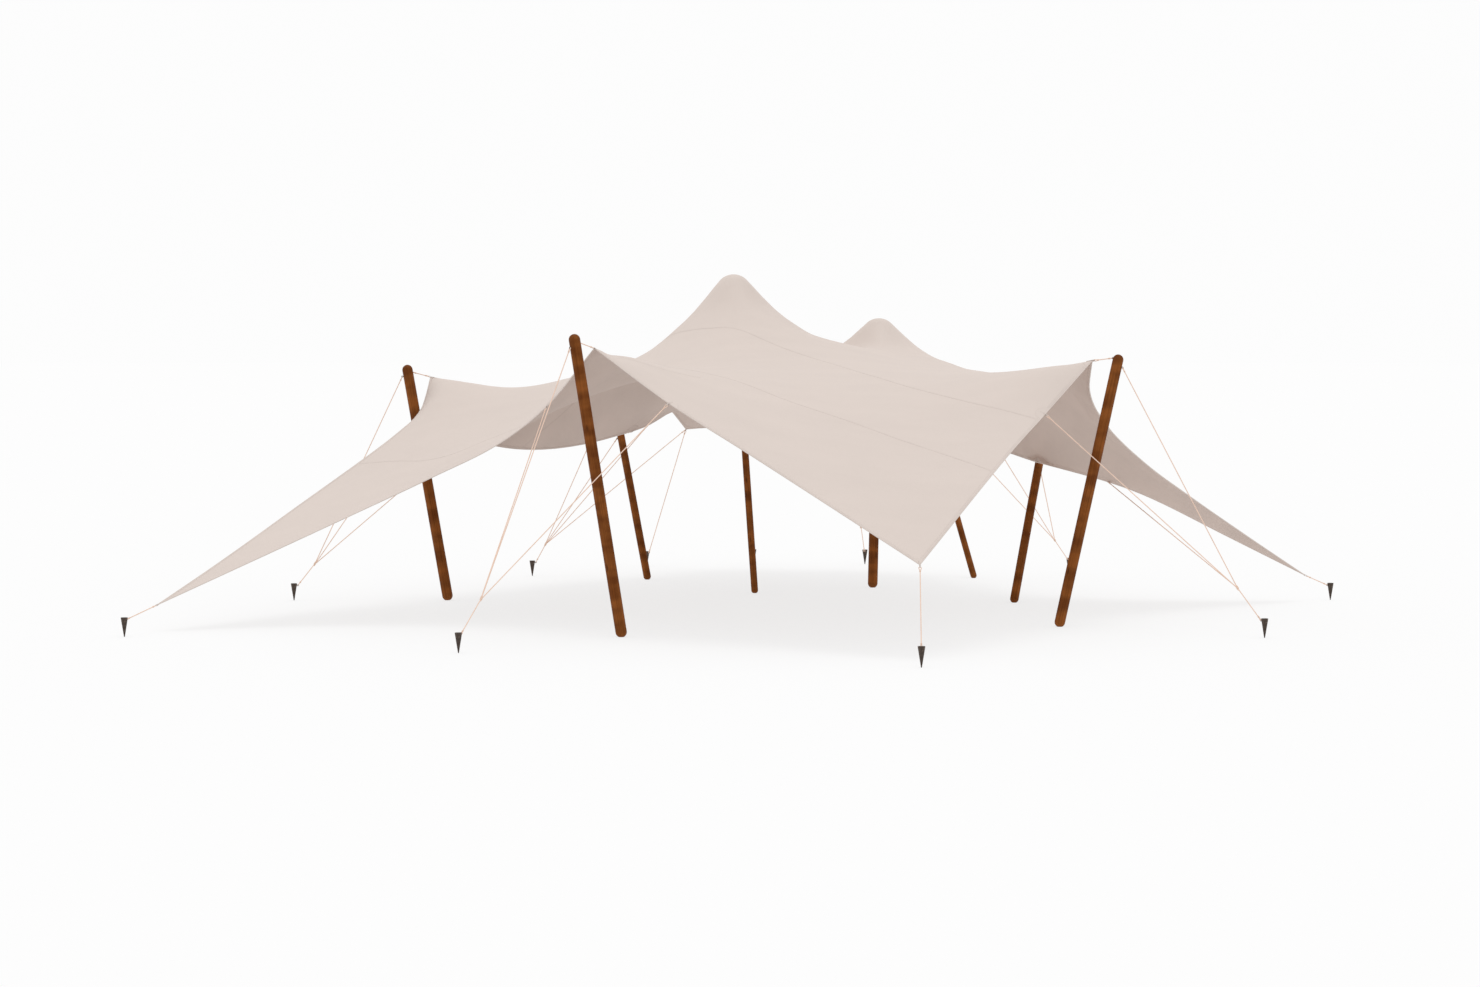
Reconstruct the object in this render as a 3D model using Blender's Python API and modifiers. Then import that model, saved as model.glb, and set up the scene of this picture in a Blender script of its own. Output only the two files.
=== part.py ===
"""A stretch tent: one tensioned fabric sheet on two centre poles and six leaning outer poles.

The hem is a closed line of smooth curves between corners and tie points. The sheet between is a
grid whose points settle like a membrane in tension. Ropes run from the hem and from the pole
heads to eleven cone stakes. Metres, +Z up, the origin on the ground in the middle of the plan.
"""
import math

import bmesh
import bpy
import numpy as np
from mathutils import Vector

GAP = 0.0003                  # clearance between pieces that touch

# The sheet
SHEET_THICKNESS = 0.006
SHEET_CELLS = 48              # grid cells along each side
CROWN_RINGS = 2               # grid rings in each rounded crown
CROWN_RADIUS = 0.15           # plan radius of a rounded crown over a centre pole
CROWN_CURVE = 0.20            # radius of the crown's dome
RELAX_ROUNDS = 900
LEAST_STEP = 0.01             # shortest grid edge that the tension counts

# Kinds of hem point: SHAPE only bends the curve, TIE is also held by a rope, CUSP is a corner in it
SHAPE, TIE, CUSP = 0, 1, 2

HEM = {
    "front": [
        ("corner_left", (-5.78, -2.80, 0.25), CUSP),
        ("", (-4.59, -2.30, 0.80), SHAPE),
        ("", (-3.26, -2.20, 1.42), SHAPE),
        ("", (-2.61, -2.40, 1.74), SHAPE),
        ("b_left", (-2.10, -2.80, 2.12), TIE),
        ("b_head", (-1.63, -3.20, 2.67), CUSP),
        ("b_right", (-0.93, -3.70, 2.17), TIE),
        ("", (-0.21, -4.20, 1.73), SHAPE),
        ("corner_front", (1.26, -5.40, 0.82), CUSP),
    ],
    "right": [
        ("corner_front", (1.26, -5.40, 0.82), CUSP),
        ("", (2.21, -3.50, 1.72), SHAPE),
        ("h_left", (2.59, -2.80, 2.05), TIE),
        ("h_head", (3.09, -2.30, 2.55), CUSP),
        ("", (3.10, -2.00, 2.25), SHAPE),
        ("", (3.29, -1.60, 1.94), SHAPE),
        ("", (3.77, -1.00, 1.52), SHAPE),
        ("", (4.30, -0.50, 1.16), SHAPE),
        ("", (4.98, 0.05, 0.72), SHAPE),
        ("corner_right", (5.69, 0.60, 0.27), CUSP),
    ],
    "back": [
        ("corner_back", (-0.93, 5.00, 1.69), CUSP),
        ("", (-0.52, 4.90, 1.71), SHAPE),
        ("back_tie", (-0.19, 5.20, 1.60), CUSP),
        ("", (0.44, 4.80, 1.64), SHAPE),
        ("f_left", (0.99, 5.00, 1.56), CUSP),
        ("", (1.49, 4.40, 1.63), SHAPE),
        ("f_head", (1.92, 4.10, 1.67), CUSP),
        ("g_far", (2.25, 3.00, 1.60), TIE),
        ("g_near", (2.56, 1.90, 1.55), TIE),
        ("g_head", (2.88, 1.00, 1.45), CUSP),
        ("h_right", (3.62, 0.75, 1.25), TIE),
        ("", (4.05, 0.65, 1.09), SHAPE),
        ("", (4.89, 0.60, 0.67), SHAPE),
        ("corner_right", (5.69, 0.60, 0.27), CUSP),
    ],
    "left": [
        ("corner_left", (-5.78, -2.80, 0.25), CUSP),
        ("", (-5.32, -2.00, 0.60), SHAPE),
        ("", (-4.79, -1.00, 1.03), SHAPE),
        ("", (-3.84, 0.40, 1.80), SHAPE),
        ("a_left", (-3.66, 0.75, 2.01), TIE),
        ("a_head", (-3.59, 1.10, 2.36), CUSP),
        ("a_right", (-3.25, 1.40, 1.72), TIE),
        ("", (-2.96, 1.90, 1.59), SHAPE),
        ("", (-2.52, 2.60, 1.53), SHAPE),
        ("c_left", (-2.00, 3.30, 1.58), TIE),
        ("c_head", (-1.53, 3.65, 1.70), CUSP),
        ("c_right", (-1.36, 3.95, 1.76), TIE),
        ("back_fold", (-1.09, 4.45, 1.92), CUSP),
        ("corner_back", (-0.93, 5.00, 1.69), CUSP),
    ],
}

# Crowns: plan place and top height of the sheet over each centre pole
CROWNS = [((-0.35, 1.70), 3.467), ((1.27, 2.55), 2.998)]

# Lines that the tension draws through the sheet: points, pull per square metre and half width
RIDGES = [
    ([(-1.63, -3.20, 2.67), (-1.49, -2.60, 2.66), (-1.30, -2.00, 2.51), (-1.12, -1.40, 2.52)], 33, 0.30),
    ([(-0.15, 1.90, 3.22), (0.16, 2.00, 2.97), (0.38, 2.10, 2.90), (0.59, 1.95, 2.75), (0.81, 2.30, 2.54),
      (1.00, 2.45, 2.70)], 66, 0.35),
    ([(1.56, 2.42, 2.72), (1.72, 2.18, 2.61), (1.90, 1.80, 2.55), (2.04, 1.20, 2.48), (2.12, 0.40, 2.45),
      (2.37, -0.40, 2.42), (2.74, -1.30, 2.46), (3.07, -2.30, 2.58)], 66, 0.35),
    ([(3.22, -1.50, 2.08), (3.30, -1.33, 1.93), (3.42, -1.18, 1.79), (3.55, -1.08, 1.68)], 200, 0.18),
    ([(-1.09, 4.42, 1.94), (-1.03, 4.10, 2.00), (-0.95, 3.75, 2.07)], 60, 0.25),
    ([(-3.60, 1.10, 2.60), (-3.40, 1.17, 2.48), (-3.08, 1.30, 2.31), (-2.71, 1.40, 2.21),
      (-2.10, 1.55, 2.37), (-1.43, 1.65, 2.47), (-1.04, 1.70, 2.79), (-0.69, 1.70, 3.12)], 33, 0.35),
]

# Poles: foot on the ground, middle of the top end, radius
POLES = {
    "a": ((-3.38, 0.70), (-3.82, 0.88, 2.49), 0.055),
    "b": ((-1.38, -3.32), (-1.80, -3.57, 2.80), 0.053),
    "c": ((-1.35, 3.50), (-1.68, 3.82, 1.74), 0.043),
    "f": ((2.43, 3.72), (1.98, 4.32, 1.72), 0.036),
    "g": ((2.60, 0.40), (2.95, 1.18, 1.54), 0.045),
    "h": ((2.79, -2.30), (3.32, -2.49, 2.61), 0.051),
}
CENTRE_POLES = {
    "tall": ((-0.12, 1.61), 0, 0.037),
    "short": ((1.20, 2.36), 1, 0.054),
}
POLE_SIDES = 16
END_STEPS = 4                 # facets from the side of a pole to the middle of its round end
FOOT_CUT = 0.006              # how much of the round foot the ground takes off

# Crown pads, which spread the load of a centre pole under the sheet
PAD_RADIUS = 0.12
PAD_RINGS = 4
PAD_DEPTH = 0.095
PAD_SIDES = 24
PAD_SEAT_RADIUS = 0.008
PAD_CLEAR = 0.009
FACET_REACH = (1.42, 1.1)     # how far flat facets lie below the dome: in its first ring and beyond

# Stakes: plan place of each
STAKES = {
    "corner_left": (-5.98, -3.32),
    "a": (-5.00, 0.66),
    "c": (-2.71, 4.02),
    "b": (-2.75, -4.78),
    "corner_back": (-1.42, 5.61),
    "back_tie": (-0.11, 5.97),
    "f": (1.26, 5.91),
    "corner_front": (1.24, -5.97),
    "g": (3.62, 4.48),
    "h": (4.56, -3.42),
    "corner_right": (5.98, 0.72),
}
STAKE_HEIGHT = 0.18
STAKE_TOP_RADIUS = 0.033
STAKE_TIP_RADIUS = 0.004
STAKE_SIDES = 16
STAKE_EYE_HEIGHT = 0.160
STAKE_EYE_RADIUS = 0.022

# Ropes
ROPE_RADIUS = 0.005
BOSS_RADIUS = 0.008
BOSS_SIDES = 8
HEM_BOSS = (0.010, 0.034)     # how far a hem boss reaches into the sheet and out of it
STAKE_BOSS = 0.034
POLE_BOSS_SINK = 0.004
POLE_BOSS_CLEAR = 0.010
TIE_DROP = 0.085              # from the top end of an outer pole to its head tie
TIE_DROPS = {"h": 0.048}      # where it differs
GUY_DROP = 0.115              # from the top end to the guy
GUY_NODES = {                 # where the strands of a guy part
    "a": (-4.78, 0.70, 0.39),
    "b": (-2.58, -4.40, 0.45),
    "c": (-2.55, 4.00, 0.38),
    "f": (1.20, 5.60, 0.48),
    "g": (3.40, 4.00, 0.42),
    "h": (4.34, -3.20, 0.45),
}
GUY_STRANDS = {
    "a": ["a_left", "a_right"],
    "b": ["b_left", "b_right"],
    "c": ["c_left", "c_right", "corner_back"],
    "f": ["f_left"],
    "g": ["g_near", "g_far"],
    "h": ["h_left", "h_right"],
}
CORNER_ROPES = ["corner_left", "corner_front", "corner_right", "corner_back", "back_tie"]

COLOURS = {
    "fabric": ((0.74, 0.66, 0.61, 1), 0.85, 0.0),
    "wood": ((0.17, 0.055, 0.013, 1), 0.6, 0.0),
    "stake": ((0.07, 0.055, 0.048, 1), 0.5, 0.6),
    "rope": ((0.80, 0.64, 0.54, 1), 0.9, 0.0),
    "pad": ((0.05, 0.045, 0.04, 1), 0.7, 0.0),
}


def clear_scene():
    for thing in list(bpy.data.objects):
        bpy.data.objects.remove(thing, do_unlink=True)


def material(name):
    found = bpy.data.materials.get(name)
    if found:
        return found
    made = bpy.data.materials.new(name)
    made.use_nodes = True
    colour, roughness, metallic = COLOURS[name]
    shader = made.node_tree.nodes["Principled BSDF"]
    shader.inputs["Base Color"].default_value = colour
    shader.inputs["Roughness"].default_value = roughness
    shader.inputs["Metallic"].default_value = metallic
    return made


def collection(name):
    made = bpy.data.collections.new(name)
    bpy.context.scene.collection.children.link(made)
    return made


def add_object(name, mesh, finish, home):
    thing = bpy.data.objects.new(name, mesh)
    home.objects.link(thing)
    mesh.materials.clear()
    mesh.materials.append(material(finish))
    return thing


# The hem

def smooth_curve(points, steps=24):
    """Centripetal Catmull-Rom curve through the points, and the index of each of them along it."""
    p = np.array(points, float)
    ends = np.vstack([2 * p[0] - p[1], p, 2 * p[-1] - p[-2]])
    curve = []
    for a, b, c, d in zip(ends, ends[1:], ends[2:], ends[3:]):
        t1 = np.linalg.norm(b - a) ** 0.5
        t2 = t1 + np.linalg.norm(c - b) ** 0.5
        t3 = t2 + np.linalg.norm(d - c) ** 0.5
        for t in np.linspace(t1, t2, steps, endpoint=False):
            ab = a + (b - a) * t / t1
            bc = b + (c - b) * (t - t1) / (t2 - t1)
            cd = c + (d - c) * (t - t2) / (t3 - t2)
            abc = ab + (bc - ab) * t / t2
            bcd = bc + (cd - bc) * (t - t1) / (t3 - t1)
            curve.append(abc + (bcd - abc) * (t - t1) / (t2 - t1))
    curve.append(p[-1])
    return np.array(curve), [i * steps for i in range(len(p))]


def hem_side(rows, cells):
    """One side of the hem as cells + 1 points, with every tie and cusp on one of them."""
    cusps = [i for i, row in enumerate(rows) if row[2] == CUSP]
    runs = []
    for first, last in zip(cusps, cusps[1:]):
        curve, places = smooth_curve([row[1] for row in rows[first:last + 1]])
        held = [k for k, row in zip(places, rows[first:last + 1]) if row[2] != SHAPE]
        runs += [curve[a:b + 1] for a, b in zip(held, held[1:])]
    along = [np.linalg.norm(np.diff(run, axis=0), axis=1).sum() for run in runs]
    reach = np.concatenate([[0], np.cumsum(along)]) / sum(along)
    places = [round(value * cells) for value in reach]
    for k in range(1, len(places)):
        places[k] = max(places[k], places[k - 1] + 1)
    line = np.zeros((cells + 1, 3))
    for k, run in enumerate(runs):
        travelled = np.concatenate([[0], np.cumsum(np.linalg.norm(np.diff(run, axis=0), axis=1))])
        wanted = np.linspace(0, travelled[-1], places[k + 1] - places[k] + 1)
        for axis in range(3):
            line[places[k]:places[k + 1] + 1, axis] = np.interp(wanted, travelled, run[:, axis])
    return line


def hem_point(name):
    for rows in HEM.values():
        for row in rows:
            if row[0] == name:
                return Vector(row[1])
    raise KeyError(name)


# The sheet

def relax(values, fixed, along_u, along_v, rounds, pull=None, goal=None):
    """Each free grid point settles between its four neighbours, and towards goal where pull says."""
    count = values.shape[0] - 1
    speed = 2 / (1 + math.sin(math.pi / count))
    before_u, after_u = along_u[:-1, 1:-1], along_u[1:, 1:-1]
    before_v, after_v = along_v[1:-1, :-1], along_v[1:-1, 1:]
    total = before_u + after_u + before_v + after_v
    load = np.zeros_like(total)
    if pull is not None:
        total = total + pull[1:-1, 1:-1]
        load = (pull * goal)[1:-1, 1:-1]
    rows, columns = np.indices(total.shape)
    free = ~fixed[1:-1, 1:-1]
    halves = [free & ((rows + columns) % 2 == k) for k in (0, 1)]
    for _ in range(rounds):
        for half in halves:
            settled = (before_u * values[:-2, 1:-1] + after_u * values[2:, 1:-1]
                       + before_v * values[1:-1, :-2] + after_v * values[1:-1, 2:] + load) / total
            inner = values[1:-1, 1:-1]
            inner[half] += speed * (settled[half] - inner[half])


def coons(cells):
    """A first grid between the four sides of the hem."""
    front, right, back, left = [hem_side(HEM[side], cells) for side in ("front", "right", "back", "left")]
    u = np.linspace(0, 1, cells + 1)[:, None, None]
    v = np.linspace(0, 1, cells + 1)[None, :, None]
    corners = ((1 - u) * (1 - v) * front[0] + u * (1 - v) * front[-1]
               + (1 - u) * v * back[0] + u * v * back[-1])
    return (1 - v) * front[:, None] + v * back[:, None] + (1 - u) * left + u * right - corners


def crown_block(plan, height, fixed, crown, rings):
    """Rounds the grid squares over a centre pole into rings, and gives them the dome's heights."""
    centre, top = crown
    centre = np.array(centre)
    i0, j0 = np.unravel_index(np.argmin(np.linalg.norm(plan - centre, axis=2)), height.shape)
    along = plan[i0 + 1, j0] - plan[i0 - 1, j0]
    across = plan[i0, j0 + 1] - plan[i0, j0 - 1]
    middle = along / np.linalg.norm(along) + across / np.linalg.norm(across)
    turn = math.atan2(middle[1], middle[0]) - math.pi / 4
    for i in range(-rings, rings + 1):
        for j in range(-rings, rings + 1):
            ring = max(abs(i), abs(j))
            if ring == 0:
                angle = 0.0
            elif abs(i) == ring:
                angle = math.pi / 4 * j / i + (math.pi if i < 0 else 0)
            else:
                angle = math.pi / 2 - math.pi / 4 * i / j + (math.pi if j < 0 else 0)
            radius = CROWN_RADIUS * ring / rings
            direction = np.array([math.cos(angle + turn), math.sin(angle + turn)])
            plan[i0 + i, j0 + j] = centre + radius * direction
            height[i0 + i, j0 + j] = top - CROWN_CURVE + math.sqrt(CROWN_CURVE ** 2 - radius ** 2)
            fixed[i0 + i, j0 + j] = True


def node_widths(edges, axis):
    """Mean length of the grid edges at each point, along one grid direction."""
    padded = np.concatenate([edges.take([0], axis), edges, edges.take([-1], axis)], axis)
    low = padded.take(range(padded.shape[axis] - 1), axis)
    high = padded.take(range(1, padded.shape[axis]), axis)
    return (low + high) / 2


def ridge_pull(plan):
    """How strongly each grid point is drawn to the nearest ridge, and to what height."""
    pull = np.zeros(plan.shape[:2])
    goal = np.zeros(plan.shape[:2])
    for points, strength, width in RIDGES:
        line, _ = smooth_curve(points)
        away = ((plan[:, :, None, :] - line[None, None, :, :2]) ** 2).sum(-1)
        weight = strength * np.exp(-away.min(-1) / width ** 2)
        goal += weight * line[away.argmin(-1), 2]
        pull += weight
    return pull, goal / np.maximum(pull, 1e-9)


def sheet_grid(cells, rings):
    """Places of the sheet's grid points, as an array of cells + 1 by cells + 1 by 3."""
    grid = coons(cells)
    plan, height = grid[..., :2].copy(), grid[..., 2].copy()
    fixed = np.zeros(height.shape, bool)
    even_u = np.ones((cells, cells + 1))
    even_v = np.ones((cells + 1, cells))
    for axis in (0, 1):
        relax(plan[..., axis], fixed, even_u, even_v, RELAX_ROUNDS)
    for crown in CROWNS:
        crown_block(plan, height, fixed, crown, rings)
    for axis in (0, 1):
        relax(plan[..., axis], fixed, even_u, even_v, RELAX_ROUNDS)
    step_u = np.linalg.norm(np.diff(plan, axis=0), axis=2)
    step_v = np.linalg.norm(np.diff(plan, axis=1), axis=2)
    width_u = node_widths(step_u, 0)
    width_v = node_widths(step_v, 1)
    flow_u = (width_v[:-1] + width_v[1:]) / 2 / np.maximum(step_u, LEAST_STEP)
    flow_v = (width_u[:, :-1] + width_u[:, 1:]) / 2 / np.maximum(step_v, LEAST_STEP)
    pull, goal = ridge_pull(plan)
    relax(height, fixed, flow_u, flow_v, 2 * RELAX_ROUNDS, pull * width_u * width_v, goal)
    return np.dstack([plan, height])


def canopy(home, cutters):
    """The sheet as a solid, with a small rope boss at every tie of the hem."""
    places = sheet_grid(SHEET_CELLS, CROWN_RINGS)
    form = bmesh.new()
    bmesh.ops.create_grid(form, x_segments=SHEET_CELLS, y_segments=SHEET_CELLS, size=0.5)
    for vertex in form.verts:
        column = round((vertex.co.x + 0.5) * SHEET_CELLS)
        row = round((vertex.co.y + 0.5) * SHEET_CELLS)
        vertex.co = Vector(places[column, row])
    mesh = bpy.data.meshes.new("canopy")
    form.to_mesh(mesh)
    form.free()
    sheet = add_object("canopy", mesh, "fabric", home)
    solid = sheet.modifiers.new("thickness", "SOLIDIFY")
    solid.thickness = SHEET_THICKNESS
    solid.offset = 0
    bosses = bmesh.new()
    for tie, direction in hem_ties():
        start = hem_point(tie) - direction * HEM_BOSS[0]
        add_rod(bosses, start, start + direction * sum(HEM_BOSS), BOSS_RADIUS)
    join(sheet, bosses, "hem_bosses", cutters)


# Rods, joins and turned shapes

def add_rod(form, start, end, radius, sides=BOSS_SIDES):
    """Adds a closed cylinder between two points to a bmesh."""
    span = end - start
    turn = span.to_track_quat("Z", "Y").to_matrix().to_4x4()
    turn.translation = (start + end) / 2
    bmesh.ops.create_cone(form, cap_ends=True, segments=sides, radius1=radius, radius2=radius,
                          depth=span.length, matrix=turn)


def join(target, form, name, cutters):
    """Unites the closed shapes in a bmesh with an object."""
    mesh = bpy.data.meshes.new(name)
    form.to_mesh(mesh)
    form.free()
    cutter = bpy.data.objects.new(name, mesh)
    cutters.objects.link(cutter)
    cutter.hide_render = True
    cutter.display_type = "WIRE"
    union = target.modifiers.new(name, "BOOLEAN")
    union.operation = "UNION"
    union.use_self = True
    union.object = cutter


def turned_mesh(name, profile, sides):
    """A profile of (radius, height) pairs, top to bottom, turned about the Z axis."""
    mesh = bpy.data.meshes.new(name)
    mesh.from_pydata([(radius, 0, height) for radius, height in profile],
                     [(k, k + 1) for k in range(len(profile) - 1)], [])
    thing = bpy.data.objects.new(name, mesh)
    bpy.context.scene.collection.objects.link(thing)
    screw = thing.modifiers.new("turn", "SCREW")
    screw.steps = sides
    screw.render_steps = sides
    screw.use_merge_vertices = True
    screw.merge_threshold = 0.00001
    bpy.context.view_layer.update()
    made = bpy.data.meshes.new_from_object(thing.evaluated_get(bpy.context.evaluated_depsgraph_get()))
    bpy.data.objects.remove(thing, do_unlink=True)
    bpy.data.meshes.remove(mesh)
    made.name = name
    return made


def round_rod_profile(radius, low, high):
    """Half outline of a rod with round ends, from its top to its bottom."""
    steps = [math.pi / 2 * k / END_STEPS for k in range(END_STEPS + 1)]
    top = [(radius * math.sin(a), high - radius + radius * math.cos(a)) for a in steps]
    bottom = [(radius * math.cos(a), low + radius - radius * math.sin(a)) for a in steps]
    return top + bottom


# Poles

def lean_axis(foot, top, radius):
    """Middle of the round foot and of the round head of a pole."""
    low = Vector((foot[0], foot[1], radius - FOOT_CUT))
    end = Vector(top)
    high = end - (end - low).normalized() * radius
    return low, high


def pole(name, foot, top, radius, home, flat_top=False):
    """A round-ended wooden pole whose foot is cut level with the ground."""
    low, high = lean_axis(foot, top, radius)
    length = (high - low).length + 2 * radius
    profile = round_rod_profile(radius, -radius, length - radius)
    mesh = turned_mesh(name, profile, POLE_SIDES)
    turn = (high - low).to_track_quat("Z", "Y").to_matrix().to_4x4()
    turn.translation = low
    mesh.transform(turn)
    form = bmesh.new()
    form.from_mesh(mesh)
    cut_level(form, 0, keep_above=True)
    if flat_top:
        cut_level(form, top[2] - FOOT_CUT, keep_above=False)
    form.to_mesh(mesh)
    form.free()
    mesh.shade_smooth()
    mesh.set_sharp_from_angle(angle=math.radians(40))
    return add_object(name, mesh, "wood", home)


def cut_level(form, level, keep_above):
    """Cuts a closed shape with a level plane and closes the cut."""
    whole = form.verts[:] + form.edges[:] + form.faces[:]
    cut = bmesh.ops.bisect_plane(form, geom=whole, dist=0.00001, plane_co=(0, 0, level),
                                 plane_no=(0, 0, 1), clear_inner=keep_above, clear_outer=not keep_above)
    rim = [item for item in cut["geom_cut"] if isinstance(item, bmesh.types.BMEdge)]
    bmesh.ops.edgeloop_fill(form, edges=rim)
    bmesh.ops.recalc_face_normals(form, faces=form.faces)


def tie_drop(key):
    return TIE_DROPS.get(key, TIE_DROP)


def head_point(key, drop):
    """Where a rope meets the axis of an outer pole."""
    foot, top, radius = POLES[key]
    low, high = lean_axis(foot, top, radius)
    axis = (high - low).normalized()
    return high + axis * (radius - drop), axis, radius


def pole_eye(key, target, drop):
    """Start and direction of the boss that takes a rope from a pole's head towards a target."""
    middle, axis, radius = head_point(key, drop)
    across = target - middle
    across -= axis * across.dot(axis)
    start = middle + across.normalized() * (radius - POLE_BOSS_SINK)
    direction = (target - start).normalized()
    slope = math.sin(direction.angle(axis))
    length = (POLE_BOSS_SINK + POLE_BOSS_CLEAR) / slope
    return start, direction, length


def outer_poles(home, cutters):
    for key, (foot, top, radius) in POLES.items():
        made = pole("outer_pole_" + key, foot, top, radius, home)
        bosses = bmesh.new()
        for target, drop in ((GUY_NODES[key], GUY_DROP), (hem_point(key + "_head"), tie_drop(key))):
            start, direction, length = pole_eye(key, Vector(target), drop)
            add_rod(bosses, start, start + direction * length, BOSS_RADIUS)
        join(made, bosses, "eyes_" + key, cutters)


def crown_heights(top):
    """Heights of a crown pad: its seat under the sheet, its rim and its flat underside."""
    return top - SHEET_THICKNESS / 2, top - PAD_DEPTH


def centre_poles(home):
    for key, (foot, crown, radius) in CENTRE_POLES.items():
        centre, top = CROWNS[crown]
        head = crown_heights(top)[1] - GAP + FOOT_CUT
        pole("centre_pole_" + key, foot, (centre[0], centre[1], head), radius, home, flat_top=True)


def dome_drop(radius):
    """How far the faceted sheet lies below its crown at a plan radius."""
    ring = CROWN_RADIUS / CROWN_RINGS
    reach = FACET_REACH[0] if radius < ring else FACET_REACH[1]
    radius = min(radius * reach, CROWN_RADIUS * 0.999)
    whole = int(radius // ring)
    drops = [CROWN_CURVE - math.sqrt(CROWN_CURVE ** 2 - (ring * k) ** 2) for k in (whole, whole + 1)]
    return drops[0] + (drops[1] - drops[0]) * (radius / ring - whole)


def crown_pads(home):
    """Domed pads between the centre poles and the sheet."""
    for key, (_, crown, _) in CENTRE_POLES.items():
        centre, top = CROWNS[crown]
        seat, underside = crown_heights(top)
        tip = seat - dome_drop(PAD_SEAT_RADIUS) - GAP
        profile = [(0, tip), (PAD_SEAT_RADIUS, tip)]
        for k in range(1, PAD_RINGS + 1):
            radius = PAD_RADIUS * k / PAD_RINGS
            profile.append((radius, seat - dome_drop(radius) - PAD_CLEAR))
        profile += [(PAD_RADIUS, underside), (0, underside)]
        mesh = turned_mesh("crown_pad_" + key, profile, PAD_SIDES)
        thing = add_object("crown_pad_" + key, mesh, "pad", home)
        thing.location = (centre[0], centre[1], 0)


# Stakes

def stake_eye(key, target):
    """Start and direction of the boss that takes a rope from a stake towards a target."""
    x, y = STAKES[key]
    middle = Vector((x, y, STAKE_EYE_HEIGHT))
    flat = Vector(((target - middle).x, (target - middle).y, 0)).normalized()
    start = middle + flat * STAKE_EYE_RADIUS
    return start, (target - start).normalized()


def stakes(home, cutters):
    for key, (x, y) in STAKES.items():
        form = bmesh.new()
        bmesh.ops.create_cone(form, cap_ends=True, segments=STAKE_SIDES, radius1=STAKE_TIP_RADIUS,
                              radius2=STAKE_TOP_RADIUS, depth=STAKE_HEIGHT)
        mesh = bpy.data.meshes.new("stake_" + key)
        form.to_mesh(mesh)
        form.free()
        thing = add_object("stake_" + key, mesh, "stake", home)
        thing.location = (x, y, STAKE_HEIGHT / 2)
        eye = bmesh.new()
        start, direction = stake_eye(key, stake_target(key))
        add_rod(eye, start, start + direction * STAKE_BOSS, BOSS_RADIUS)
        join(thing, eye, "eye_" + key, cutters)


def stake_target(key):
    """What the rope of a stake runs to first."""
    return Vector(GUY_NODES[key]) if key in GUY_NODES else hem_point(key)


# Ropes

def hem_ties():
    """Each tie of the hem with the direction in which its rope leaves."""
    ties = []
    for key in POLES:
        target = pole_eye(key, hem_point(key + "_head"), tie_drop(key))[0]
        ties.append((key + "_head", (target - hem_point(key + "_head")).normalized()))
    for key, strands in GUY_STRANDS.items():
        for tie in strands:
            ties.append((tie, (Vector(GUY_NODES[key]) - hem_point(tie)).normalized()))
    for key in CORNER_ROPES:
        ties.append((key, (stake_eye(key, hem_point(key))[0] - hem_point(key)).normalized()))
    return ties


def rope_mesh(name, points, radius=ROPE_RADIUS):
    """A rope as a closed mesh along straight stretches."""
    curve = bpy.data.curves.new(name, "CURVE")
    curve.dimensions = "3D"
    curve.bevel_depth = radius
    curve.bevel_resolution = 2
    curve.use_fill_caps = True
    line = curve.splines.new("POLY")
    line.points.add(len(points) - 1)
    for knot, place in zip(line.points, points):
        knot.co = (*place, 1)
    thing = bpy.data.objects.new(name, curve)
    bpy.context.scene.collection.objects.link(thing)
    bpy.context.view_layer.update()
    mesh = bpy.data.meshes.new_from_object(thing.evaluated_get(bpy.context.evaluated_depsgraph_get()))
    bpy.data.objects.remove(thing, do_unlink=True)
    form = bmesh.new()
    form.from_mesh(mesh)
    bmesh.ops.remove_doubles(form, verts=form.verts, dist=0.00001)
    bmesh.ops.recalc_face_normals(form, faces=form.faces)
    form.to_mesh(mesh)
    form.free()
    mesh.name = name
    return mesh


def straight_rope(name, start, end, home):
    return add_object(name, rope_mesh(name, [start, end]), "rope", home)


def head_ties(home):
    """Short ropes from the pole heads to the hem."""
    for key in POLES:
        tie = hem_point(key + "_head")
        start, direction, length = pole_eye(key, tie, tie_drop(key))
        straight_rope("head_tie_" + key, start + direction * (length + GAP),
                      tie - direction * (HEM_BOSS[1] + GAP), home)


def corner_ropes(home):
    """Ropes straight from a stake to the hem."""
    for key in CORNER_ROPES:
        tie = hem_point(key)
        start, direction = stake_eye(key, tie)
        straight_rope("corner_rope_" + key, start + direction * (STAKE_BOSS + GAP),
                      tie - direction * (HEM_BOSS[1] + GAP), home)


def stub_length(directions):
    """How far the strands run together before they are clear of each other."""
    least = min(a.angle(b) for k, a in enumerate(directions) for b in directions[k + 1:])
    return (ROPE_RADIUS + BOSS_RADIUS + 0.002) / (2 * math.sin(least / 2))


def guys(home, cutters):
    """Each guy runs from its stake by a bound knot to a pole head, with strands to the hem."""
    for key, strands in GUY_STRANDS.items():
        knot = Vector(GUY_NODES[key])
        low, low_direction = stake_eye(key, knot)
        high, high_direction, length = pole_eye(key, knot, GUY_DROP)
        line = [low + low_direction * (STAKE_BOSS + GAP), knot, high + high_direction * (length + GAP)]
        guy = add_object("guy_" + key, rope_mesh("guy_" + key, line), "rope", home)
        targets = [(hem_point(tie) - knot).normalized() for tie in strands]
        stub = stub_length(targets + [-high_direction])
        bound = bmesh.new()
        for direction in targets:
            add_rod(bound, knot, knot + direction * stub, BOSS_RADIUS)
        join(guy, bound, "knot_" + key, cutters)
        for tie, direction in zip(strands, targets):
            straight_rope("strand_%s_%s" % (key, tie.split("_")[1]), knot + direction * (stub + GAP),
                          hem_point(tie) - direction * (HEM_BOSS[1] + GAP), home)


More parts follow.
